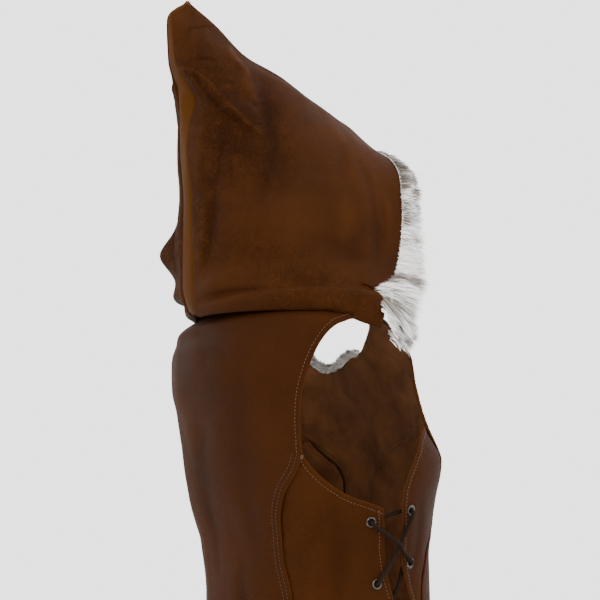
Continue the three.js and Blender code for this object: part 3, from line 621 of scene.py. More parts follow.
class Nodes:
    """Makes the nodes of one material. Any input may be a value or another node's output."""

    def __init__(self, tree):
        self.tree = tree
        self.place = tree.nodes.new("ShaderNodeTexCoord").outputs["Object"]

    def feed(self, node, inputs):
        for key, value in inputs.items():
            if isinstance(value, bpy.types.NodeSocket):
                self.tree.links.new(value, node.inputs[key])
            else:
                node.inputs[key].default_value = value

    def new(self, kind, inputs, **settings):
        node = self.tree.nodes.new(kind)
        for key, value in settings.items():
            setattr(node, key, value)
        self.feed(node, inputs)
        return node

    def mapped(self, vector, scale, turn=(0, 0, 0)):
        return self.new("ShaderNodeMapping", {
            "Vector": vector, "Rotation": turn, "Scale": scale}).outputs[0]

    def noise(self, scale, detail=3, rough=0.5, vector=None, distortion=0.0):
        return self.new("ShaderNodeTexNoise", {
            "Vector": vector or self.place, "Scale": scale, "Detail": detail,
            "Roughness": rough, "Distortion": distortion}).outputs["Fac"]

    def cells(self, scale, vector=None):
        return self.new("ShaderNodeTexVoronoi", {
            "Vector": vector or self.place, "Scale": scale, "Randomness": 1.0},
            feature="DISTANCE_TO_EDGE").outputs["Distance"]

    def math(self, operation, a, b, clamp=False):
        return self.new("ShaderNodeMath", {0: a, 1: b}, operation=operation,
                        use_clamp=clamp).outputs[0]

    def blend(self, a, share_a, b, share_b):
        return self.math("ADD", self.math("MULTIPLY", a, share_a),
                         self.math("MULTIPLY", b, share_b))

    def span(self, value, low, high, to_low=0.0, to_high=1.0):
        return self.new("ShaderNodeMapRange", {
            "Value": value, "From Min": low, "From Max": high, "To Min": to_low,
            "To Max": to_high}).outputs["Result"]

    def ramp(self, value, *stops):
        node = self.new("ShaderNodeValToRGB", {"Fac": value})
        elements = node.color_ramp.elements
        while len(elements) < len(stops):
            elements.new(0.5)
        for element, (at, color) in zip(elements, stops):
            element.position = at
            element.color = (*color, 1)
        return node.outputs["Color"]

    def mix(self, factor, a, b):
        return self.new("ShaderNodeMix", {0: factor, 6: a, 7: (*b, 1)},
                        data_type="RGBA").outputs[2]

    def attribute(self, name):
        return self.new("ShaderNodeAttribute", {}, attribute_name=name).outputs["Fac"]

    def bump(self, height, distance, strength, normal=None):
        inputs = {"Height": height, "Distance": distance, "Strength": strength}
        if normal is not None:
            inputs["Normal"] = normal
        return self.new("ShaderNodeBump", inputs).outputs["Normal"]


def shade(color, factor):
    return tuple(factor * v for v in color)


def leather(name, deep, main, light, wrinkle, rough=(0.6, 0.82)):
    """Dyed smooth leather: fine pebbled grain, drawn wrinkles, mottled dye, rubbed edges, a
    painted highlight on raised creases and painted shade in sunk ones.
    """
    material, n, shader = nodes_of(name)
    drift = n.new("ShaderNodeTexNoise", {
        "Vector": n.place, "Scale": 14.0, "Detail": 3.0}).outputs["Color"]
    warped = n.new("ShaderNodeMix", {0: 0.35, 4: n.place, 5: drift},
                   data_type="VECTOR").outputs[1]
    mottled = n.noise(9, 5, 0.6)
    patches = n.noise(3.2, 3, 0.55)
    pebbles = n.cells(760)
    pores = n.noise(1500, 2, 0.6)
    # Wrinkles run in two crossing directions and come and go. Where the leather is worn, a
    # third set lies level.
    lines_a = n.cells(95, n.mapped(warped, (1, 1, 0.42)))
    lines_b = n.cells(190, n.mapped(warped, (0.5, 1, 1), (0.5, 0.3, 0.9)))
    lines_c = n.cells(150, n.mapped(warped, (0.45, 0.45, 1.3), (0, 0, 0.3)))
    worn = n.attribute("worn")
    where = n.math("ADD", n.span(n.noise(6.5, 2, 0.5), 0.46, 0.70, 0.0, 0.45), worn, clamp=True)
    crack_a = n.math("MULTIPLY", n.span(lines_a, 0.0, 0.14, 1.0, 0.0), where)
    crack_b = n.math("MULTIPLY", n.span(lines_b, 0.0, 0.20, 0.7, 0.0), where)
    crack_c = n.math("MULTIPLY", n.span(lines_c, 0.0, 0.17, 1.0, 0.0), worn)
    cracks = n.math("MAXIMUM", n.math("MAXIMUM", crack_a, crack_b), crack_c)
    color = n.ramp(n.blend(mottled, 0.6, patches, 0.4), (0.30, deep), (0.5, main), (0.72, light))
    color = n.mix(n.math("MULTIPLY", cracks, 0.45), color, shade(deep, 0.45))
    color = n.mix(n.span(pebbles, 0.0, 0.12, 0.40, 0.0), color, shade(deep, 0.6))
    # Painted highlight on raised creases and painted shade in sunk ones, from the crease height
    # the mesh carries.
    rub = n.attribute("rub")
    color = n.mix(n.span(rub, 0.05, 1.0, 0.0, 0.55), color, shade(light, 1.25))
    color = n.mix(n.span(rub, -0.05, -1.0, 0.0, 0.60), color, shade(deep, 0.55))
    edge = n.span(n.attribute("edge"), 0.3, 1.6, 0.45, 0.0)
    color = n.mix(edge, color, shade(light, 1.5))
    roughness = n.span(n.math("ADD", mottled, n.math("MULTIPLY", cracks, 0.6)), 0.3, 0.9, *rough)
    normal = n.bump(n.math("MULTIPLY", cracks, -1.0), 0.0010 * wrinkle, 0.9)
    normal = n.bump(n.noise(60, 4, 0.6, warped), 0.0012, 0.35 * wrinkle, normal)
    normal = n.bump(n.span(pebbles, 0.0, 0.25), 0.00022, 0.55, normal)
    normal = n.bump(pores, 0.0001, 0.4, normal)
    n.feed(shader, {"Base Color": color, "Roughness": roughness, "Normal": normal, "IOR": 1.3,
                    "Specular IOR Level": 0.06})
    return material


def suede(name, deep, main, light):
    """The brushed flesh side of the leather."""
    material, n, shader = nodes_of(name)
    brushed = n.noise(7, 5, 0.65, distortion=0.8)
    clouds = n.noise(24, 4, 0.6, distortion=0.5)
    nap = n.noise(900, 3, 0.7, n.mapped(n.place, (1, 1, 0.5)))
    color = n.ramp(n.blend(brushed, 0.55, clouds, 0.45), (0.36, deep), (0.5, main), (0.66, light))
    color = n.mix(n.span(nap, 0.3, 0.7, 0.35, 0.0), color, deep)
    n.feed(shader, {"Base Color": color, "Roughness": n.span(brushed, 0.3, 0.7, 0.86, 0.97),
                    "Normal": n.bump(nap, 0.0004, 0.7, n.bump(clouds, 0.001, 0.3)),
                    "Specular IOR Level": 0.05})
    return material


def thread_material(name, deep, light):
    material, n, shader = nodes_of(name)
    twist = n.new("ShaderNodeTexWave", {"Vector": n.place, "Scale": 900.0, "Distortion": 1.5},
                  bands_direction="DIAGONAL").outputs["Fac"]
    color = n.ramp(n.blend(twist, 0.5, n.noise(300, 2), 0.5), (0.3, deep), (0.7, light))
    n.feed(shader, {"Base Color": color, "Roughness": n.span(twist, 0, 1, 0.55, 0.75),
                    "Normal": n.bump(twist, 0.0002, 0.6)})
    return material


def fur_material(name, pale, grey, brown, rough):
    """Hair coloured by each strand's own tone (0 pale, 1 taupe) and warmth."""
    material, n, shader = nodes_of(name)
    grain = n.noise(700, 3, 0.6)
    tone = n.math("ADD", n.math("MULTIPLY", grain, 0.24), n.attribute("tone"))
    color = n.ramp(tone, (0.14, pale), (0.58, grey), (1.0, brown))
    n.feed(shader, {"Base Color": color, "Roughness": n.span(grain, 0.2, 0.8, 0.5, 0.8),
                    "Normal": n.bump(grain, 0.0004, rough), "Sheen Weight": 0.3,
                    "Specular IOR Level": 0.3})
    return material


def metal_material(name):
    material, n, shader = nodes_of(name)
    worn = n.noise(420, 4, 0.6)
    color = n.ramp(worn, (0.35, (0.022, 0.019, 0.016)), (0.62, (0.078, 0.070, 0.061)))
    n.feed(shader, {"Base Color": color, "Roughness": n.span(worn, 0.3, 0.7, 0.42, 0.28),
                    "Normal": n.bump(n.noise(1600, 3), 0.0001, 0.3), "Metallic": 1.0})
    return material


BODY_OUT = leather("body_leather", (0.0155, 0.0041, 0.0006), (0.0235, 0.0064, 0.0009),
                   (0.0325, 0.0093, 0.0014), 0.8)
HOOD_OUT = leather("hood_leather", (0.0178, 0.0050, 0.0010), (0.0300, 0.0086, 0.0015),
                   (0.0435, 0.0132, 0.0024), 2.4)
GUSSET_OUT = leather("gusset_leather", (0.029, 0.0092, 0.0008), (0.041, 0.0132, 0.0011),
                     (0.053, 0.0175, 0.0017), 0.7)
INSIDE = suede("suede", (0.058, 0.0220, 0.0074), (0.112, 0.0440, 0.0155),
               (0.175, 0.0700, 0.0255))
THREAD = thread_material("thread", (0.040, 0.0145, 0.0032), (0.088, 0.033, 0.008))
DARK_THREAD = thread_material("dark_thread", (0.012, 0.0042, 0.0010), (0.024, 0.0085, 0.0019))
FUR = fur_material("fur", (0.78, 0.762, 0.735), (0.25, 0.213, 0.185), (0.060, 0.040, 0.027), 0.3)
SKIN = fur_material("pelt_skin", (0.66, 0.64, 0.61), (0.50, 0.46, 0.42), (0.26, 0.21, 0.17), 0.8)
NICKEL = metal_material("nickel")
LACE = leather("lace_leather", (0.0055, 0.0030, 0.0017), (0.0095, 0.0055, 0.0032),
               (0.0160, 0.0095, 0.0060), 0.5, rough=(0.6, 0.8))

# ---------------------------------------------------------------- body panels
EDGE = np.array([0, 0.5, 1.2, 2.2, 3.4, 4.6, 5.8, 7.0, 8.6, 10.8, 13, 16, 20])
LACED = np.array([0, 0.5, 1.2, 2.2, 3.4, 4.6, 5.8, 7.0, 8.4, 9.8, 11.2, 12.6, 14, 15.4, 16.8,
                  18.2, 19.6, 21, 22.6, 25])
CENTRE = np.array([0, 2, 5, 10])
EDGES_OFF = 5.8  # first row of stitches from a border
LAP_ROWS = (5.8, 10.8)
LAP = 5
EYELET_HOLE = 4.1
MM_PER_DEGREE = 2.6  # the crease tables count places round the body as angles times this
FULL_CREASE_HIGHLIGHT_AND_SHADE = 3  # the height or depth in mm from which a crease gets its full painted highlight or painted shade
ROW_PITCH = 4.5


def columns(curve, from_start, from_end, cells):
    """Places along a curve, at set distances in mm from its two ends and evenly between."""
    t = np.linspace(0, 1, 161)
    angle, z = curve(t)
    s = distances(body(angle, z))
    squeeze = min(1, 0.8 * s[-1] / (from_start[-1] + from_end[-1]))
    a, b = from_start * squeeze, from_end * squeeze
    want = np.r_[a, np.linspace(a[-1], s[-1] - b[-1], cells + 1)[1:-1], s[-1] - b[::-1]]
    return np.stack(curve(np.interp(want, s, t)), -1)


def straight(angle0, z0, angle1, z1):
    return lambda t: (lerp(angle0, angle1, t), lerp(z0, z1, t))


def levels(low, high, pitch, extra=()):
    z = list(np.linspace(low, high, max(2, int((high - low) / pitch)) + 1))
    return np.array(sorted(set(np.round(z + list(extra), 3))))


HEM_ROWS = [HEM_Z + d for d in EDGE]
EYELET_SPAN = np.arange(-7, 7.1, 1.4)


def right_edge(z):
    """The back panel's border on the wearer's right, counted on past the centre back."""
    return 360 + along_ring(back_border(z), z, -SEAM_GAP / 2)


def back_row(z):
    if z <= BACK_ARM_Z:
        a = float(right_edge(z))
        return columns(straight(360 - a, z, a, z), EDGE, EDGE, 62)
    low = BACK_ARM_Z
    v = (z - low) / -low
    border = lambda h: (360 - float(right_edge(h)), float(right_edge(h)))

    def curve(u):
        end = lerp(*border(0), u)
        corners = lerp(lerp(*border(low), u), end, v)
        lift = -6 * np.sin(math.pi * u) ** 2
        return lerp(lerp(*border(low), u), end, v) + lerp(*border(z), u) - corners, z + v * lift

    return columns(curve, EDGE, EDGE, 62)


SHOULDER = list(np.arange(-48, -30, 2.0)) + list(np.arange(-30, 0.01, 1.0))
back_grid = np.stack([back_row(z) for z in [
    *levels(HEM_Z, -186, ROW_PITCH, HEM_ROWS), *levels(-181, -52, ROW_PITCH), *SHOULDER]])


def front_edge(z):
    return float(along_ring(front_border(z), z, SEAM_GAP / 2))


def front_edge_left(z):
    """The wearer's left border, which stands a little fuller low on the armhole."""
    return -along_ring(front_border(z), z, SEAM_GAP / 2) + 6.4 * hump(z, -133, 15)


def two_halves(left_curve, right_curve):
    a = columns(left_curve, EDGE, CENTRE, 30)
    b = columns(right_curve, CENTRE, EDGE, 30)
    return np.concatenate([a, b[1:]])


front_body = np.stack([
    two_halves(straight(front_edge(z), z, 0, z), straight(0, z, float(front_edge_left(z)), z))
    for z in levels(HEM_Z, FRONT_ARM_Z, ROW_PITCH, HEM_ROWS)])
RUNGS = np.r_[np.linspace(0, 4, 33), np.linspace(4, 9, 61)[1:]]
strap_right = np.stack([
    columns(straight(front_edge(strap["armZ"](i)), strap["armZ"](i), strap["rightAngle"](i),
                     strap["rightZ"](i)), EDGE, CENTRE, 30) for i in RUNGS])
strap_left = np.stack([
    columns(straight(strap["leftAngle"](i), strap["leftZ"](i),
                     float(front_edge_left(strap["armZ"](i))), strap["armZ"](i)), CENTRE, EDGE, 30)
    for i in RUNGS])
chest_top = np.concatenate([strap_right[0], strap_left[0][1:]])
front_chest = np.stack([lerp(front_body[-1], chest_top, k) for k in np.linspace(0, 1, 22)])


def eyelet_extra(which):
    return [row[which] + d for row in EYELET_ROWS for d in EYELET_SPAN]


ABOVE = np.r_[np.linspace(0, 0.78, 20)[1:], np.linspace(0.78, 1, 22)[1:]]
side_rows = []
below_waist = [z for z in eyelet_extra(0) if z < WAIST_UP_Z]
for z in levels(HEM_Z, WAIST_UP_Z, ROW_PITCH, HEM_ROWS + below_waist):
    seam = float(along_ring(back_border(z), z, -LAP))
    side_rows.append(columns(straight(seam, z, float(side_lace_edge(z)), z), EDGE, LACED, 18))
for above in ABOVE:
    z = lerp(WAIST_UP_Z, BACK_ARM_Z, above)
    seam = float(along_ring(back_border(z), z, -LAP))
    edge = float(side_lace_edge(WAIST_UP_Z + above * 15))
    row = columns(straight(seam, WAIST_UP_Z, edge, WAIST_UP_Z), EDGE, LACED, 18)
    row[:, 1] = lerp(WAIST_UP_Z, arm_low(row[:, 0]), above)
    side_rows.append(row)
side_grid = np.stack(side_rows)

front_side_grid = np.stack([
    columns(straight(float(front_lace_edge(z)), z,
                     float(along_ring(front_border(z), z, LAP)), z), LACED, EDGE, 12)
    for z in levels(HEM_Z, FRONT_ARM_Z, 4.0,
                    HEM_ROWS + eyelet_extra(1) + list(np.arange(-160, FRONT_ARM_Z, 1.6)))])

EYELETS = [
    {"side": (float(along_ring(side_lace_edge(a), a, -SIDE_EYELET_IN)), a),
     "front": (float(along_ring(front_lace_edge(b), b, FRONT_EYELET_IN)), b)}
    for a, b in EYELET_ROWS]


def hem_profile(d):
    """A folded, topstitched border: thicker, rounded over at the edge, drawn in at the row."""
    return (0.7 * (1 - smoothstep(d, 6.6, 9.5)) - 0.9 * hump(d, 0, 0.9)
            - 0.45 * hump(d, EDGES_OFF, 1))


def lap_profile(d):
    """The upper side of a lapped seam with its two rows of stitches."""
    out = 0.95 * (1 - smoothstep(d, 11.5, 16)) - 0.9 * hump(d, 0, 0.7)
    for row in LAP_ROWS:
        out = out - 0.4 * hump(d, row, 1)
    return out


def under_profile(d):
    """The lower side of a lapped seam, from its own edge LAP mm in under the upper one."""
    return -1.35 * (1 - smoothstep(d, LAP + 0.5, LAP + 5))


PROFILES = {"hem": hem_profile, "lap": lap_profile, "under": under_profile}


class Panel:
    """A body panel: its welded places, its borders, its creases and the relief they make."""

    def __init__(self, grids, rows, borders, seed, eyelets=()):
        self.rows, self.seed, self.eyelets = rows, seed, eyelets
        self.places, self.triangles = weld(grids)
        self.borders = {key: (kind, dense(*line)) for key, (kind, line) in borders.items()}
        self.trees = {key: tree_of(body(*line)) for key, (kind, line) in self.borders.items()}

    def relief(self, angle, z):
        flat = body(angle, z)
        u = np.asarray(angle) * MM_PER_DEGREE
        out = creases(self.rows, u, z)
        out = out + 0.55 * noise(u, z, 46, self.seed) + 0.3 * noise(u, z, 17, self.seed + 9)
        nearest = np.full(len(flat), 1e3)
        for key, (kind, _) in self.borders.items():
            d = distance_to(flat, self.trees[key])
            out = out + PROFILES[kind](d)
            nearest = np.minimum(nearest, d)
            # The thread draws the leather in unevenly.
            out = out + 0.35 * noise(u, z, 6.5, self.seed + 3) * hump(d, 9, 7)
        for spot in self.eyelets:
            away = np.linalg.norm(flat - body(*spot), axis=1)
            out = out - 0.5 * hump(away, 0, 8)  # the eyelet draws the leather in
        return out, nearest

    def surface(self, angle, z):
        out, nearest = self.relief(angle, z)
        return body(angle, z) + body_normal(angle, z) * out[:, None], nearest

    def build(self, side_names, doubled=None):
        angle, z = self.places.T
        points, nearest = self.surface(angle, z)
        # Crease height for the leather's painted highlight on ridges and painted shade in troughs.
        rub = np.clip(creases(self.rows, angle * MM_PER_DEGREE, z) / FULL_CREASE_HIGHLIGHT_AND_SHADE, -1, 1)
        thick = LEATHER + (0 * z if doubled is None else doubled(angle, z))
        triangles = self.triangles
        centre = points[triangles].mean(1)
        for spot in self.eyelets:
            keep = np.linalg.norm(centre - body(*spot), axis=1) > EYELET_HOLE
            triangles, centre = triangles[keep], centre[keep]
        used, triangles = np.unique(triangles, return_inverse=True)
        triangles = triangles.reshape(-1, 3)
        points, nearest, thick, rub = points[used], nearest[used], thick[used], rub[used]
        made = []
        for name, mirror in side_names:
            p, t = mirrored(points, triangles) if mirror else (points, triangles)
            made.append(shell(name, p, t, BODY_OUT, INSIDE, thick, {"edge": nearest, "rub": rub}))
        return made


def offset(line, d, inward):
    """A border line moved d mm onto the panel. `inward` is 1 or -1, across the line's way."""
    angle, z = line
    ea, ez = 0.2, 0.5
    along = unit(np.gradient(body(angle, z), axis=0))
    into = np.cross(body_normal(angle, z), along) * inward
    per_angle = (body(angle + ea, z) - body(angle - ea, z)) / (2 * ea)
    per_z = (body(angle, z + ez) - body(angle, z - ez)) / (2 * ez)
    a11, a12, a22 = ((x * y).sum(-1) for x, y in
                     ((per_angle, per_angle), (per_angle, per_z), (per_z, per_z)))
    b1, b2 = (per_angle * into).sum(-1) * d, (per_z * into).sum(-1) * d
    det = a11 * a22 - a12 * a12
    return angle + (a22 * b1 - a12 * b2) / det, z + (a11 * b2 - a12 * b1) / det


STITCH_AHEAD = 0.8  # mm, for the way a stitch runs
STITCH_SIDES = 4
STITCH_SECTIONS = ((-1.0, -0.25, 0.12), (-0.72, 0.10, 0.36), (0.0, 0.26, 0.42),
                   (0.72, 0.10, 0.36), (1.0, -0.25, 0.12))  # along, height, radius


def stitch_mesh(points, normals, pitch=3.9, length=2.7):
    """One row of thread stitches along a line of surface points."""
    s = distances(points)
    count = int(s[-1] / pitch)
    if count < 1:
        return np.zeros((0, 3)), np.zeros((0, 3), int)
    at = (np.arange(count) + 0.5) * s[-1] / count
    centre = interpolate(at, s, points)
    up = unit(interpolate(at, s, normals))
    way = unit(interpolate(at + STITCH_AHEAD, s, points)
               - interpolate(at - STITCH_AHEAD, s, points))
    side = np.cross(up, way)
    rings = []
    for along, height, radius in STITCH_SECTIONS:
        for k in range(STITCH_SIDES):
            turn = 2 * math.pi * (k + 0.5) / STITCH_SIDES
            rings.append(centre + way * along * length / 2 + side * radius * math.cos(turn)
                         + up * (height + radius * math.sin(turn)))
    vertices = np.stack(rings, 1).reshape(-1, 3)
    one = []
    for r in range(len(STITCH_SECTIONS) - 1):
        for k in range(STITCH_SIDES):
            a = r * STITCH_SIDES + k
            b = r * STITCH_SIDES + (k + 1) % STITCH_SIDES
            one += [(a, b, b + STITCH_SIDES), (a, b + STITCH_SIDES, a + STITCH_SIDES)]
    one = np.array(one)
    return vertices, repeated(one, count, len(rings))


def join_parts(parts):
    vertices, faces, start = [], [], 0
    for v, f in parts:
        vertices.append(v)
        faces.append(f + start)
        start += len(v)
    return np.concatenate(vertices), np.concatenate(faces)


def stitch_rows(panel, rows, doubled):
    """Stitches on a panel: rows of (border line, distance, inward)."""
    parts = []
    for line, d, inward in rows:
        angle, z = offset(line, d, inward)
        points, _ = panel.surface(angle, z)
        normals = body_normal(angle, z)
        if not doubled:
            parts.append(stitch_mesh(points, normals))
        # The bobbin thread shows on the inside in the same row.
        parts.append(stitch_mesh(points - normals * (LEATHER + doubled + 0.05), -normals))
    return join_parts(parts)


def put(thing, parent=None, node=None):
    if parent is not None:
        thing.parent = parent
    else:
        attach(thing, "root")
    if node:
        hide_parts(node)
    return thing


z_back = np.array(levels(HEM_Z, BACK_ARM_Z, 2))
z_arm_back = np.array(levels(BACK_ARM_Z, -27, 1))
back_seam_right = (along_ring(back_border(z_back), z_back, -SEAM_GAP / 2), z_back)
back_arm_right = (along_ring(back_border(z_arm_back), z_arm_back, -SEAM_GAP / 2), z_arm_back)
to_left = lambda line: (-line[0], line[1])


def hem_between(a, b):
    angle = np.linspace(a, b, 200)
    return angle, np.full(200, float(HEM_Z))


past = lambda line: (line[0] + 360, line[1])
back_panel = Panel(
    [back_grid],
    {**BACK_CREASES, "u0": -BACK_CREASES["u0"], "u1": -BACK_CREASES["u1"],
     "bow": -BACK_CREASES["bow"]},
    {"right": ("lap", past(back_seam_right)), "left": ("lap", to_left(back_seam_right)),
     "arm_right": ("hem", past(back_arm_right)), "arm_left": ("hem", to_left(back_arm_right)),
     "hem": ("hem", hem_between(133, 227))}, seed=11)

z_front = np.array(levels(HEM_Z, FRONT_ARM_Z, 2))
z_arm_front = np.array(levels(FRONT_ARM_Z, -27, 1))
front_seam_right = (along_ring(front_border(z_front), z_front, SEAM_GAP / 2), z_front)
front_arm_right = (along_ring(front_border(z_arm_front), z_arm_front, SEAM_GAP / 2), z_arm_front)
front_seam_left = (front_edge_left(z_front), z_front)
front_arm_left = (front_edge_left(z_arm_front), z_arm_front)
rung = np.linspace(0, 9, 120)
neck_right = (strap["rightAngle"](rung), strap["rightZ"](rung))
neck_left = (strap["leftAngle"](rung), strap["leftZ"](rung))
front_panel = Panel(
    [front_body, front_chest, strap_right, strap_left], FRONT_CREASES,
    {"right": ("lap", front_seam_right), "left": ("lap", front_seam_left),
     "arm_right": ("hem", front_arm_right), "arm_left": ("hem", front_arm_left),
     "neck_right": ("hem", neck_right), "neck_left": ("hem", neck_left),
     "hem": ("hem", hem_between(-46, 46))}, seed=23)

side_seam = (along_ring(back_border(z_back), z_back, -LAP), z_back)
z_lace = np.array(levels(HEM_Z, -227, 2))
side_edge = (side_lace_edge(z_lace), z_lace)
a_low = np.linspace(-126.3, -88.8, 90)
arm_edge = (a_low, arm_low(a_low))
side_panel = Panel(
    [side_grid], SIDE_CREASES,
    {"seam": ("under", side_seam), "lace": ("hem", side_edge), "arm": ("hem", arm_edge),
     "hem": ("hem", hem_between(-133, -80))}, eyelets=[e["side"] for e in EYELETS], seed=31)

front_side_edge = (front_lace_edge(z_front), z_front)
front_side_seam = (along_ring(front_border(z_front), z_front, LAP), z_front)
front_side = Panel(
    [front_side_grid], FRONT_SIDE_CREASES,
    {"seam": ("under", front_side_seam), "lace": ("hem", front_side_edge),
     "hem": ("hem", hem_between(-72, -46))}, eyelets=[e["front"] for e in EYELETS], seed=41)

SIDES = (("right", False), ("left", True))
back_shell, = back_panel.build([("back", False)])
rung = np.linspace(0, 5, 90)
BUST_ALLOWANCE = 10  # mm wide
bust_line = (smooth(BUST_SEAM, "i", "angle")(rung), smooth(BUST_SEAM, "i", "z")(rung))
bust_tree = tree_of(body(*bust_line))
bust_over = tree_of(body(*offset(bust_line, BUST_ALLOWANCE / 2, -1)))


def bust_doubled(angle, z):
    """The seam's allowance lies flat on one side of it."""
    flat = body(angle, z)
    on_allowance = distance_to(flat, bust_over)
    return 1.6 * (1 - smoothstep(on_allowance, 4.2, 5.8))


front_shell, = front_panel.build([("front", False)], bust_doubled)
side_shells = side_panel.build([("side_right", False), ("side_left", True)])
front_side_shells = front_side.build([("front_side_r", False), ("front_side_l", True)])
put(back_shell, node="back_panel")
put(front_shell, node="front_panel")
for thing, (side, _) in zip(side_shells, SIDES):
    put(thing, node="side_panel_" + side)
for thing, (side, _) in zip(front_side_shells, SIDES):
    put(thing, node="front_side_" + side)


def add_stitches(name, panel, rows, parents, thread=None, doubled=0.0):
    vertices, faces = stitch_rows(panel, rows, doubled)
    for parent, mirror in parents:
        v, f = mirrored(vertices, faces) if mirror else (vertices, faces)
        thing = make_object(name + ("_l" if mirror else ""), v, f, [thread or THREAD])
        put(thing, parent=parent)


add_stitches("back_seam_stitches", back_panel,
             [(line, d, s) for line, s in ((past(back_seam_right), 1),
                                           (to_left(back_seam_right), -1)) for d in LAP_ROWS],
             [(back_shell, False)], DARK_THREAD)
add_stitches("back_edge_stitches", back_panel,
             [(past(back_arm_right), EDGES_OFF, 1), (to_left(back_arm_right), EDGES_OFF, -1),
              (hem_between(134, 226), EDGES_OFF, 1)], [(back_shell, False)])
add_stitches("front_seam_stitches", front_panel,
             [(line, d, s) for line, s in ((front_seam_right, -1), (front_seam_left, 1))
              for d in LAP_ROWS], [(front_shell, False)], DARK_THREAD)
add_stitches("front_edge_stitches", front_panel,
             [(front_arm_right, EDGES_OFF, -1), (front_arm_left, EDGES_OFF, 1),
              (neck_right, EDGES_OFF, 1), (neck_left, EDGES_OFF, -1),
              (hem_between(-45, 45), EDGES_OFF, 1)], [(front_shell, False)])
add_stitches("bust_stitches", front_panel, [(bust_line, d, -1) for d in (3, 8)],
             [(front_shell, False)], doubled=1.55)

# A bar tack closes the top of each back seam.
parts = []
for k in range(5):
    z = BACK_ARM_Z - 1.5 - 0.9 * k
    line = (360 + along_ring(back_border(z), z, np.linspace(-3.5, 3.5, 9)), np.full(9, z))
    points, _ = back_panel.surface(*line)
    parts.append(stitch_mesh(points[1:-1], body_normal(line[0][1:-1], z), 5.2, 5.0))
tack, tack_faces = join_parts(parts)
for side, mirror in SIDES:
    v, f = mirrored(tack, tack_faces) if mirror else (tack, tack_faces)
    put(make_object("bar_tack_" + side, v, f, [THREAD]), parent=back_shell)
add_stitches("side_stitches", side_panel,
             [(side_edge, EDGES_OFF, 1), (arm_edge, EDGES_OFF, -1),
              (hem_between(-132, -81), EDGES_OFF, 1)],
             [(side_shells[0], False), (side_shells[1], True)])
add_stitches("front_side_stitches", front_side,
             [(front_side_edge, EDGES_OFF, -1), (hem_between(-71, -47), EDGES_OFF, 1)],
             [(front_side_shells[0], False), (front_side_shells[1], True)])

# ---------------------------------------------------------------- hood
HOOD_EDGE_T = np.array([0, 0.6, 1.4, 2.4, 4, 6, 9, 13]) / FOLD_SPAN
HOOD_T = np.r_[HOOD_EDGE_T, np.linspace(HOOD_EDGE_T[-1], 105 / FOLD_SPAN, 56)[1:],
               np.linspace(105 / FOLD_SPAN, 1 - 10 / FOLD_SPAN, 44)[1:],
               1 - np.array([7, 4.5, 2.5, 1.2, 0.5, 0]) / FOLD_SPAN]
HOOD_ROWS = np.r_[np.linspace(0, 2, 12), np.linspace(2, 6, 45)[1:], np.linspace(6, 8, 26)[1:],
                  np.linspace(8, 13, 86)[1:], np.linspace(13, 14, 24)[1:]]
SEAM_PUSH = table(  # how far the seam beside the gusset buckles outward and ahead, by height
    ["z", "out", "ahead"],
    [-20, 0, 0], [120, 0, 0], [170, 0.5, -1.5], [196, 1.5, 1.5], [224, 3.0, 9.0], [240, 1.5, 4],
    [262, -0.5, -2], [290, 0, -0.5], [345, 0, 0],
)
push_out = smooth(SEAM_PUSH, "z", "out")
push_ahead = smooth(SEAM_PUSH, "z", "ahead")
roll_line = smooth(ROLL_LINE, "t", "row")
# In mm: the tip, its back corner, the dip in the crest, the upper corner of the face opening,
# the groove over the roll, the ridges above and below it, the flap over the armhole and how
# far the roll's back rests lower.
TIP_UP, BACK_CORNER, CREST_DIP, FACE_BACK = 5, 8, 8.5, 7.5
ROLL_GROOVE, ROLL_ABOVE, ROLL_BELOW, FLAP_OUT, FLAP_DOWN, ROLL_REST = 6.4, 3.6, 2.2, 3, 11.5, 3.5
TOP_PITCH = 22  # mm between the hood's sections near its crest


def peak_lift(row, t):
    """The tip stands a little higher, its back corner is fuller and the crest has a dip."""
    corner = BACK_CORNER * hump(row, 13.1, 0.6) * hump(t, 0, 0.12)
    dip = CREST_DIP * hump(t, 0.365, 0.08) + TIP_UP * smoothstep(t, 0.82, 1)
    return (TIP_UP - dip) * smoothstep(row, 11.5, 14) + corner


def face_pull(row, t):
    """How far the upper corner of the face opening lies further back."""
    return FACE_BACK * hump(row, 11.6, 1.3) * smoothstep(t, 0.7, 1)


def seam_buckle(side, z, near):
    """Moves points by how near (0 to 1) they lie to the gusset's seam."""
    move = np.zeros((*np.shape(z), 3))
    share = 1.0 if side < 0 else 0.35
    move[..., 0] = side * push_out(z) * near * share
    move[..., 1] = -push_ahead(z) * near * share
    return move


def hood_up(side, row, t, step):
    return (hood(side, np.minimum(row + step, HOOD_TOP), t)
            - hood(side, np.maximum(row - step, 0), t))


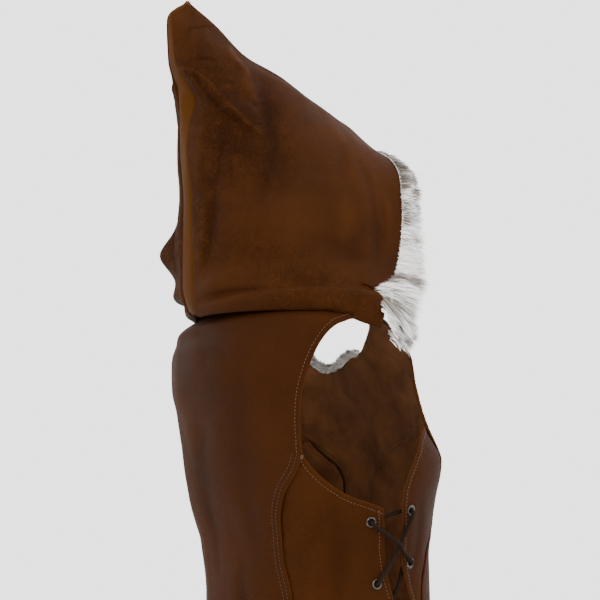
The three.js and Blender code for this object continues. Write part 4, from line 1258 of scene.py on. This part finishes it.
def hood_surface(side, row, t):
    """The outer surface with its creases, roll and flap, the way back to the seam and the crease
    height for painted highlight and shade.
    """
    flat = hood(side, row, t)
    dt, dr = 0.004, 0.03
    across = hood(side, row, np.minimum(t + dt, 1)) - hood(side, row, np.maximum(t - dt, 0))
    out = unit(np.cross(across, hood_up(side, row, t, dr))) * (-side)
    u, v = t * FOLD_SPAN, flat[..., 2]
    fade = smoothstep(row, 5.2, 6.4)
    relief = creases(HOOD_CREASES[side], u, v) * fade
    # Crease height for the leather's painted highlight on ridges and painted shade in troughs.
    rub = np.clip(relief / FULL_CREASE_HIGHLIGHT_AND_SHADE, -1, 1)
    relief = relief + (0.7 * noise(u, v, 38, 5 - side) + 0.35 * noise(u, v, 14, 8 - side)) * (
        smoothstep(row, 1.5, 3) * (1 - 0.9 * smoothstep(t, 0.85, 1)))
    along = smoothstep(t, 0.0, 0.12) * (1 - 0.8 * smoothstep(t, 0.8, 1.0))
    away = row - roll_line(t) - 0.12 * noise(u, 0 * u, 42, 15 - side)
    relief = relief + along * (ROLL_ABOVE * hump(away, 1, 0.55) - ROLL_GROOVE * hump(away, 0, 0.32)
                               + ROLL_BELOW * hump(away, -0.8, 0.5))
    # The lowest part hangs over the armhole's top as a flap.
    flap = (smoothstep(t, 0.38, 0.5) * (1 - smoothstep(t, 0.93, 1.0))
            * hump(row, 2.4, 0.75) * (1 if side < 0 else 0.6))
    rest = (1 - smoothstep(t, 0.3, 0.55)) * hump(row, 2.1, 0.8) * (side < 0)
    relief = relief + FLAP_OUT * flap
    flat[..., 1] += face_pull(row, t)
    flat[..., 2] += peak_lift(row, t) - FLAP_DOWN * flap - ROLL_REST * rest
    # The seams beside the gusset and along the crest sink in between low ridges.
    d_back, crest = t * FOLD_SPAN, (HOOD_TOP - row) * TOP_PITCH
    relief = relief + 0.7 * hump(d_back, 3.2, 2.2) - 1.3 * hump(d_back, 0, 1.2)
    relief = relief - 0.9 * hump(crest, 0, 1.6) + 0.4 * hump(crest, 4, 2.5)
    near = hump(d_back, 0, 34)
    return flat + out * relief[..., None] + seam_buckle(side, v, near), d_back, rub


TINY = 1e-6
for side, name in ((-1, "right"), (1, "left")):
    row, t = np.meshgrid(HOOD_ROWS, HOOD_T, indexing="ij")
    points, d_back, rub = hood_surface(side, row, t)
    ids = grid_ids(row.shape)
    if side > 0:
        ids = ids[:, ::-1]
    height = hood(side, row, t)[..., 2].ravel()
    row, t, d_back = row.ravel(), t.ravel(), d_back.ravel()
    # The upper back of the hood is worn most.
    worn = (0.85 * hump(d_back, 62, 52) * hump(height, 205, 78)
            + 0.35 * hump(d_back, 20, 26) * hump(height, 90, 60))
    edge = np.minimum((1 - t) * FOLD_SPAN, d_back) + 1
    thing = shell("hood_" + name, points.reshape(-1, 3), grid_triangles(ids), HOOD_OUT, INSIDE,
                  attributes={"edge": edge, "worn": worn, "rub": rub.ravel()},
                  upright=(d_back < TINY) | (row > HOOD_TOP - TINY))
    put(thing, node="hood_side_" + name)

# Places across the gusset. Past 1 it lies under the hood's sides.
GUSSET_ACROSS = np.array([2, 1.5, 1, 0.97, 0.9, 0.75, 0.5, 0.2, -0.2, -0.5, -0.75, -0.9, -0.97,
                          -1, -1.5, -2])
GUSSET_END, GUSSET_LEAST = 13.97, 0.3  # its last section and its least half width
row, across = np.meshgrid(HOOD_ROWS[HOOD_ROWS <= GUSSET_END], GUSSET_ACROSS, indexing="ij")
half = np.maximum(hood_at["backHalf"](row) - SEAM_GAP, GUSSET_LEAST)
under = np.clip(np.abs(across) - 1, 0, 1)
across = np.clip(across, -1, 1)
gusset_z = hood_at["backZ"](row)
bulge = 2 * (1 - across**2) * np.minimum(1, half / 12) - 1.3 * np.abs(across) ** 14
bulge = bulge + 0.6 * noise(across * 16, gusset_z, 22, 77) * (1 - across**2)
# Folded in where its seam buckles.
bulge = bulge - 3.5 * hump(gusset_z - across * 8, 238, 7) * (1 - across**2)
tuck = tuck_at(1, row, 0 * row) * (across + 1) / 2
bulge = bulge - 2.3 * np.minimum(1, under * 2)
lap = np.sign(across) * under * LAP * np.minimum(1, half / 9)
points = np.stack([across * half + lap, -hood_at["backF"](row) + bulge - tuck,
                   gusset_z + TUCK_LIFT * tuck + peak_lift(row, 0)], -1)
near = np.abs(across) ** 1.5
points = points + np.where((across < 0)[..., None], seam_buckle(-1, gusset_z, near),
                           seam_buckle(1, gusset_z, near))
gusset = shell("gusset", points.reshape(-1, 3), grid_triangles(grid_ids(row.shape)), GUSSET_OUT,
               INSIDE, attributes={"edge": (1 - np.abs(across.ravel())) * 16 + 1})
put(gusset, node="hood_gusset")

# ---------------------------------------------------------------- fur
fur_reach = smooth(HOOD_FUR, "z", "reach")
fur_thick = smooth(HOOD_FUR, "z", "thick")


def face_frames(side):
    row = np.arange(4, HOOD_TOP + 0.01, 0.25)
    edge = hood(side, row, 1.0)
    edge[:, 1] += face_pull(row, 1.0)
    on = unit(edge - hood(side, row, 0.93))
    up = hood_up(side, row, 1.0, 0.05)
    out = unit(np.cross(on, up) if side < 0 else np.cross(up, on))
    size = np.stack([fur_reach(edge[:, 2]), fur_thick(edge[:, 2])], -1)
    forward, z, half = np.array(FUR_END, float).T
    end_edge = np.stack([side * half, -forward, z], -1)
    end_on = np.tile(unit(np.array([-side * 0.2, -0.98, 0.0])), (3, 1))
    end_out = np.tile(unit(np.array([side * 0.98, -0.2, 0.0])), (3, 1))
    end_size = np.stack([fur_reach(z), fur_thick(z)], -1)
    return [np.concatenate(pair) for pair in
            ((end_edge, edge), (end_on, on), (end_out, out), (end_size, size))]


def hood_fur_frames():
    left, right = face_frames(1), face_frames(-1)
    joined = []
    for a, b in zip(left, right):
        top = a[-1:].copy()
        if a.shape[1] == 3:
            top[:, 0] = 0
        joined.append(np.concatenate([a[:-1], top, b[:-1][::-1]]))
    return joined


def neck_fur_frames():
    right, left = np.arange(1, 0, -0.25), np.arange(0, 6.01, 0.25)
    angle = np.r_[strap["rightAngle"](right), strap["leftAngle"](left)]
    z = np.r_[strap["rightZ"](right), strap["leftZ"](left)]
    edge = body(angle, z)
    along = unit(np.gradient(edge, axis=0))
    on = unit(np.cross(body_normal(angle, z), along))
    out = unit(np.cross(along, on))
    size = np.tile([0.72 * NECK_FUR["reach"], 0.8 * NECK_FUR["thick"]], (len(edge), 1))
    size[[0, -1]] *= 0.7
    return [edge, on, out, size]


def resample(frames, pitch):
    edge, on, out, size = frames
    s = distances(edge)
    want = np.linspace(0, s[-1], int(s[-1] / pitch))
    pick = lambda v: interpolate(want, s, v)
    return want, pick(edge), unit(pick(on)), unit(pick(out)), pick(size)


BAND = ((-1.3, 0.3), (0.4, 0.5), (4.5, 2.0), (7.5, 1.4), (8.8, -0.9), (7.5, -3.2), (4.5, -3.8),
        (0.4, -2.4), (-1.3, -2.3))  # pelt round the leather's edge: ahead of it, over its outside
ROOTS = np.array(((0.0, 0.4), (4.5, 2.0), (7.5, 1.4), (8.8, -0.9), (7.5, -3.2), (4.5, -3.8),
                  (0.4, -2.4)))


def tone_of(place, q, patches):
    """0 pale to 1 taupe, in soft patches by height."""
    z = place[:, 2]
    tone = np.zeros(len(z))
    for centre, spread, amount in patches:
        tone += amount * hump(z, centre, spread)
    return tone + 0.56 * noise(z + 200, q * 20 + place[:, 0], 13, 91) + (
        0.36 * noise(z, q * 9 + place[:, 0], 6, 92))


HAIR_TONES_AND_ROOT_SHADE = (0.34, 0.34, 0.16, 0.16, 0.0, 0.0, -0.06)  # from root to tip: darker at the root for grey underfur and as painted shade deep in the fur
HAIR_POINTS = len(HAIR_TONES_AND_ROOT_SHADE)
PELT_THICK = 0.8
CLUMPS = 4096
CLUMP_PITCH = 3.6  # mm
BAND_REACH = 8.8  # how far the pelt covers the leather


def fur_trim(name, frames, count, node, patches, width, seed, droop, over_leather):
    rng = np.random.default_rng(seed)
    s, edge, on, out, size = resample(frames, 2.2)
    reach, thick = size.T
    squeeze, squash = np.minimum(1, reach / 26), np.minimum(1, thick / 16)
    band = np.stack([edge + on * (a * squeeze)[:, None] + out * (b * squash + 0.3)[:, None]
                     for a, b in BAND], 1)
    p, t = band.reshape(-1, 3), grid_triangles(grid_ids(band.shape[:2]))
    across_band = np.tile(np.linspace(-1, 1, len(BAND)), len(edge))
    tone = 0.5 * tone_of(np.repeat(edge, len(BAND), 0), across_band, patches)
    pelt = shell(name + "_pelt", p, t[:, ::-1], SKIN, SKIN, PELT_THICK, {"tone": tone})
    put(pelt, node=node)
    # Hairs: roots all over the band, tips out to the trim's full section, lying in clumps.
    k = rng.integers(0, len(s) - 1, count)
    f = rng.random((count, 1))
    pick = lambda v: v[k] + (v[k + 1] - v[k]) * f
    e, o, w = pick(edge), unit(pick(on)), unit(pick(out))
    r, th = reach[k], thick[k]
    along = unit(edge[k + 1] - edge[k])
    where = rng.random(count) ** 0.9 * (len(ROOTS) - 1)
    j = where.astype(int).clip(0, len(ROOTS) - 2)
    a, b = (ROOTS[j] + (ROOTS[j + 1] - ROOTS[j]) * (where - j)[:, None]).T
    a, b = a * squeeze[k], b * squash[k] + 0.3
    side = np.where(where < 3, 1.0, -1.0)
    lay = over_leather(e[:, 2]) * rng.random(count) * (where < 1.5)
    far = np.clip(a / BAND_REACH, 0, 1)
    clump = (np.floor(s[k] / CLUMP_PITCH + 1.5 * noise(s[k], where * 9, 6, seed + 5)) * 11
             + np.floor(where * 1.6)).astype(int) % CLUMPS
    comb = np.random.default_rng(seed + 1).normal(0, 1, (CLUMPS, 4))[clump]
    root = e + o * (a - lay)[:, None] + w * b[:, None]
    fuller = 1.05 + 0.32 * hump(e[:, 2], 45, 40)
    tip_on = r * fuller * (0.36 + 0.60 * far) * rng.uniform(0.80, 1.04, count) - lay * 0.9
    tip_out = side * th / 2 * (1.0 - 0.62 * far**2) * rng.uniform(0.55, 1.04, count)
    tip = (e + o * (tip_on + comb[:, 0] * 1.3)[:, None]
           + w * (tip_out + comb[:, 1] * 0.9 - 0.6)[:, None])
    tip += along * (comb[:, 2] * 2.4 + rng.normal(0, 0.9, count))[:, None]
    fall = droop(e[:, 2])
    tip[:, 2] -= fall * rng.uniform(0.6, 1.1, count)
    middle = root * 0.45 + tip * 0.55 + w * (side * (1 - far) * 2.4)[:, None] - o * (
        (1 - far) * rng.uniform(0.5, 2.5, count))[:, None]
    across = unit(np.cross(w * side[:, None] + o * far[:, None], tip - root))
    wide = across * (width * rng.uniform(0.6, 1.3, (count, 1)))
    spin = rng.uniform(-0.8, 0.8, (count, 1))
    third = unit(np.cross(across, tip - root))
    wide = wide * np.cos(spin) + third * np.linalg.norm(wide, axis=1, keepdims=True) * np.sin(spin)
    rings = []
    for at, thin in ((0, 1.0), (0.38, 0.9), (0.72, 0.6)):
        c = root * (1 - at) ** 2 + middle * 2 * at * (1 - at) + tip * at * at
        rings += [c - wide * thin, c + wide * thin]
    vertices = np.stack([*rings, tip], 1).reshape(-1, 3)
    one = np.array([(0, 1, 3), (0, 3, 2), (2, 3, 5), (2, 5, 4), (4, 5, 6)])
    faces = repeated(one, count, HAIR_POINTS)
    tone = tone_of(root, where, patches) + comb[:, 3] * 0.11 + rng.normal(0, 0.06, count)
    guard = (rng.random(count) < 0.10) * rng.uniform(0.2, 0.7, count)
    # Each strand darkens toward its root: grey underfur plus painted shade deep in the fur.
    tone = np.repeat(tone + guard, HAIR_POINTS) + np.tile(HAIR_TONES_AND_ROOT_SHADE, count)
    hair = make_object(name + "_hair", vertices, faces, [FUR],
                       attributes={"tone": np.clip(tone, 0, 1)})
    put(hair, parent=pelt)
    return pelt


hood_pelt = fur_trim(
    "hood_fur", hood_fur_frames(), 35000, "hood_fur_trim",
    [(150, 26, 0.50), (110, 16, 0.16), (62, 26, -0.22), (24, 8, 0.62), (2, 8, 0.10),
     (-12, 8, 0.34), (-36, 12, 0.34), (188, 14, 0.22)],
    0.34, 101, lambda z: 2 + 9 * (1 - smoothstep(z, -20, 30)),
    lambda z: 4 + 12 * (1 - smoothstep(z, 0, 32)))
# The neck fur's pale patch low on the front is painted light: it lightens hair that lies in shade.
neck_pelt = fur_trim(
    "neck_fur", neck_fur_frames(), 12000, "neck_fur_trim",
    [(-45, 20, -0.3), (-15, 12, 0.1)], 0.32, 202, lambda z: 0 * z, lambda z: 0 * z + 1)

# ---------------------------------------------------------------- eyelets
EYELET_PROFILE = ((3.05, -3.3), (3.6, -3.5), (5.0, -3.35), (5.3, -3.0), (5.0, -2.5), (3.5, -2.4),
                  (3.5, 0.5), (5.2, 0.55), (5.7, 0.85), (5.55, 1.25), (4.9, 1.5), (4.1, 1.5),
                  (3.4, 1.25), (3.05, 0.8))


def eyelet_object(name, place, mirror):
    angle, z = place
    point, out = body(angle, z), body_normal(angle, z)
    tangent = unit(np.cross(out, [0, 0, 1.0]))
    other = np.cross(out, tangent)
    turns = np.linspace(0, 2 * math.pi, 32, endpoint=False)
    rings = np.stack([
        point + tangent * (r * math.cos(a)) + other * (r * math.sin(a)) + out * (h - 0.3)
        for r, h in EYELET_PROFILE for a in turns])
    ids = grid_ids((len(EYELET_PROFILE), len(turns)))
    ids = np.concatenate([ids, ids[:1]])
    ids = np.concatenate([ids, ids[:, :1]], 1)
    faces = grid_triangles(ids)
    if mirror:
        rings, faces = mirrored(rings, faces)
    return make_object(name, rings, faces, [NICKEL], sharp=50)


for i, row in enumerate(EYELETS, 1):
    for kind in ("side", "front"):
        for side, mirror in SIDES:
            thing = eyelet_object(f"eyelet_{kind}_{side}_{i}", row[kind], mirror)
            put(thing, node=f"grommet_{kind}_{side}_{i}")


# ---------------------------------------------------------------- laces
WALL = 2  # the leather of the solids
LACE_END, KNOT_UP = 30, 14  # below the lowest eyelets, and the knot above that


def lace_points():
    over = EYELET_GAP + EYELET_FLANGE + 0.4 + LACE_R + 0.6
    under = -(WALL + EYELET_GAP + EYELET_FLANGE + 0.4 + LACE_R + 0.6)
    points = []

    def place(p, height):
        points.append(body(*p) + body_normal(*p) * height)

    def go(before, here, after, outwards):
        point, normal = body(*here), body_normal(*here)

        def lift(h, toward=None, mm=0.0):
            way = np.zeros(3)
            if toward is not None:
                way = body(*toward) - point
                way = unit(way - normal * (way @ normal))
            points.append(point + normal * h + way * mm)

        first, last = (under, over) if outwards else (over, under)
        low, high = -WALL - EYELET_GAP - EYELET_FLANGE, EYELET_GAP + EYELET_FLANGE
        lift(first, before, 6.5)
        lift(first - math.copysign(0.8, first), before, 1.4)
        lift(low if outwards else high)
        lift(high if outwards else low)
        lift(last - math.copysign(0.8, last), after, 1.4)
        lift(last, after, 6.5)

    def cross(a, b, height, extra):
        for t, h in ((0.27, height), (0.5, height + extra), (0.73, height)):
            place((lerp(a[0], b[0], t), lerp(a[1], b[1], t)), h)

    s = [row["side"] for row in EYELETS]
    f = [row["front"] for row in EYELETS]
    start, finish = (s[3][0], s[3][1] - LACE_END), (f[3][0], f[3][1] - LACE_END)
    # Up from the lowest eyelet in the side panel to the top pair, and down again over itself.
    route = [start, s[3], f[2], s[1], f[0], s[0], f[1], s[2], f[3], finish]
    place((start[0], start[1] + KNOT_UP), under - 2)
    for k in range(1, len(route) - 1):
        outwards = k % 2 == 1
        go(route[k - 1], route[k], route[k + 1], outwards)
        if k < len(route) - 2:
            over_itself = LACE_R * 2 + 0.8 if k > 4 else 0
            if outwards:
                cross(route[k], route[k + 1], over, over_itself)
            else:
                cross(route[k], route[k + 1], under, -over_itself)
    place((finish[0], finish[1] + KNOT_UP), under - 2)
    return np.array(points)


def centripetal(points, per_span):
    """A centripetal Catmull-Rom curve through the points."""
    p = np.concatenate([[2 * points[0] - points[1]], points, [2 * points[-1] - points[-2]]])
    made = []
    for i in range(len(points) - 1):
        p0, p1, p2, p3 = p[i:i + 4]
        t = np.cumsum([0, *(max(1e-4, np.linalg.norm(b - a)) ** 0.5
                            for a, b in ((p0, p1), (p1, p2), (p2, p3)))])
        last = i == len(points) - 2
        for at in np.linspace(t[1], t[2], per_span + 1)[:None if last else -1]:
            a1 = lerp(p0, p1, (at - t[0]) / (t[1] - t[0]))
            a2 = lerp(p1, p2, (at - t[1]) / (t[2] - t[1]))
            a3 = lerp(p2, p3, (at - t[2]) / (t[3] - t[2]))
            b1 = lerp(a1, a2, (at - t[0]) / (t[2] - t[0]))
            b2 = lerp(a2, a3, (at - t[1]) / (t[3] - t[1]))
            made.append(lerp(b1, b2, (at - t[1]) / (t[2] - t[1])))
    return np.array(made)


def tube(path, radius, sides=12, closed=False):
    way = unit(np.gradient(path, axis=0))
    side = np.zeros_like(path)
    s = unit(np.cross(way[0], [0.3, 0.2, 1.0]))
    for i, w in enumerate(way):
        s = unit(s - w * (s @ w))
        side[i] = s
    other = np.cross(way, side)
    radius = np.broadcast_to(radius, len(path))[:, None]
    turns = np.linspace(0, 2 * math.pi, sides, endpoint=False)
    rings = np.stack([path + (side * math.cos(a) + other * math.sin(a)) * radius
                      for a in turns], 1)
    ids = grid_ids((len(path), sides))
    ids = np.concatenate([ids, ids[:, :1]], 1)
    if closed:
        ids = np.concatenate([ids, ids[:1]])
    faces = grid_triangles(ids)
    vertices = rings.reshape(-1, 3)
    if not closed:
        vertices = np.concatenate([vertices, path[:1], path[-1:]])
        a, b = len(vertices) - 2, len(vertices) - 1
        k = np.arange(sides)
        n = (k + 1) % sides
        last = (len(path) - 1) * sides
        faces = np.concatenate([faces, np.stack([np.full(sides, a), n, k], -1),
                                np.stack([np.full(sides, b), last + k, last + n], -1)])
    return vertices, faces


def knot(centre):
    """A small tight overhand knot."""
    t = np.linspace(0, 2 * math.pi, 60, endpoint=False)
    path = np.stack([np.sin(t) + 2 * np.sin(2 * t), np.cos(t) - 2 * np.cos(2 * t),
                     -np.sin(3 * t)], -1) * 0.85
    return tube(path + centre, 1.7, sides=8, closed=True)


lace_route = lace_points()
lace_line = centripetal(lace_route, 8)
swell = 1 + 0.05 * noise(np.arange(len(lace_line)), np.zeros(len(lace_line)), 5, 66)
lace_parts = [tube(lace_line, LACE_R * swell), knot(lace_route[0]), knot(lace_route[-1])]
lace_vertices, lace_faces = join_parts(lace_parts)
for side, mirror in SIDES:
    v, f = mirrored(lace_vertices, lace_faces) if mirror else (lace_vertices, lace_faces)
    thing = make_object("lacing_" + side, v, f, [LACE], attributes={"edge": np.full(len(v), 9.0)})
    put(thing, node="lace_" + side)


# ---------------------------------------------------------------- floor and light
FLOOR_Z, FLOOR_HALF = -1.42, 30
floor_mesh = bpy.data.meshes.new("floor")
floor_mesh.from_pydata([(FLOOR_HALF * x, FLOOR_HALF * y, FLOOR_Z)
                        for x, y in ((-1, -1), (1, -1), (1, 1), (-1, 1))], [], [(0, 1, 2, 3)])
floor = bpy.data.objects.new("floor", floor_mesh)
bpy.context.scene.collection.objects.link(floor)
floor_material, paper, floor_shader = nodes_of("floor_paper")
paper_color = paper.ramp(paper.noise(3, 4), (0.3, (0.90, 0.90, 0.90)), (0.7, (0.93, 0.93, 0.93)))
paper.feed(floor_shader, {"Base Color": paper_color, "Roughness": 0.9})
floor_mesh.materials.append(floor_material)

WORLD_STRENGTH = 2.7
world = bpy.data.worlds.new("studio")
world.use_nodes = True
background = world.node_tree.nodes["Background"].inputs
background["Color"].default_value = (1, 1, 1, 1)
background["Strength"].default_value = WORLD_STRENGTH
bpy.context.scene.world = world


LIGHT_AIM = Vector((0, 0, -0.15))


def area_light(name, azimuth, elevation, distance, size, watts):
    light = bpy.data.objects.new(name, bpy.data.lights.new(name, "AREA"))
    light.data.energy = watts
    light.data.size = size
    way = direction(azimuth, elevation)
    light.location = LIGHT_AIM + way * distance
    light.rotation_mode = "QUATERNION"
    light.rotation_quaternion = (-way).to_track_quat("-Z", "Y")
    bpy.context.scene.collection.objects.link(light)


area_light("key", 215, 38, 2.6, 1.6, 34)
area_light("fill", 285, 12, 3.0, 2.0, 12)
area_light("top", 250, 80, 2.4, 1.4, 14)
area_light("front", 20, 30, 3.0, 2.0, 22)
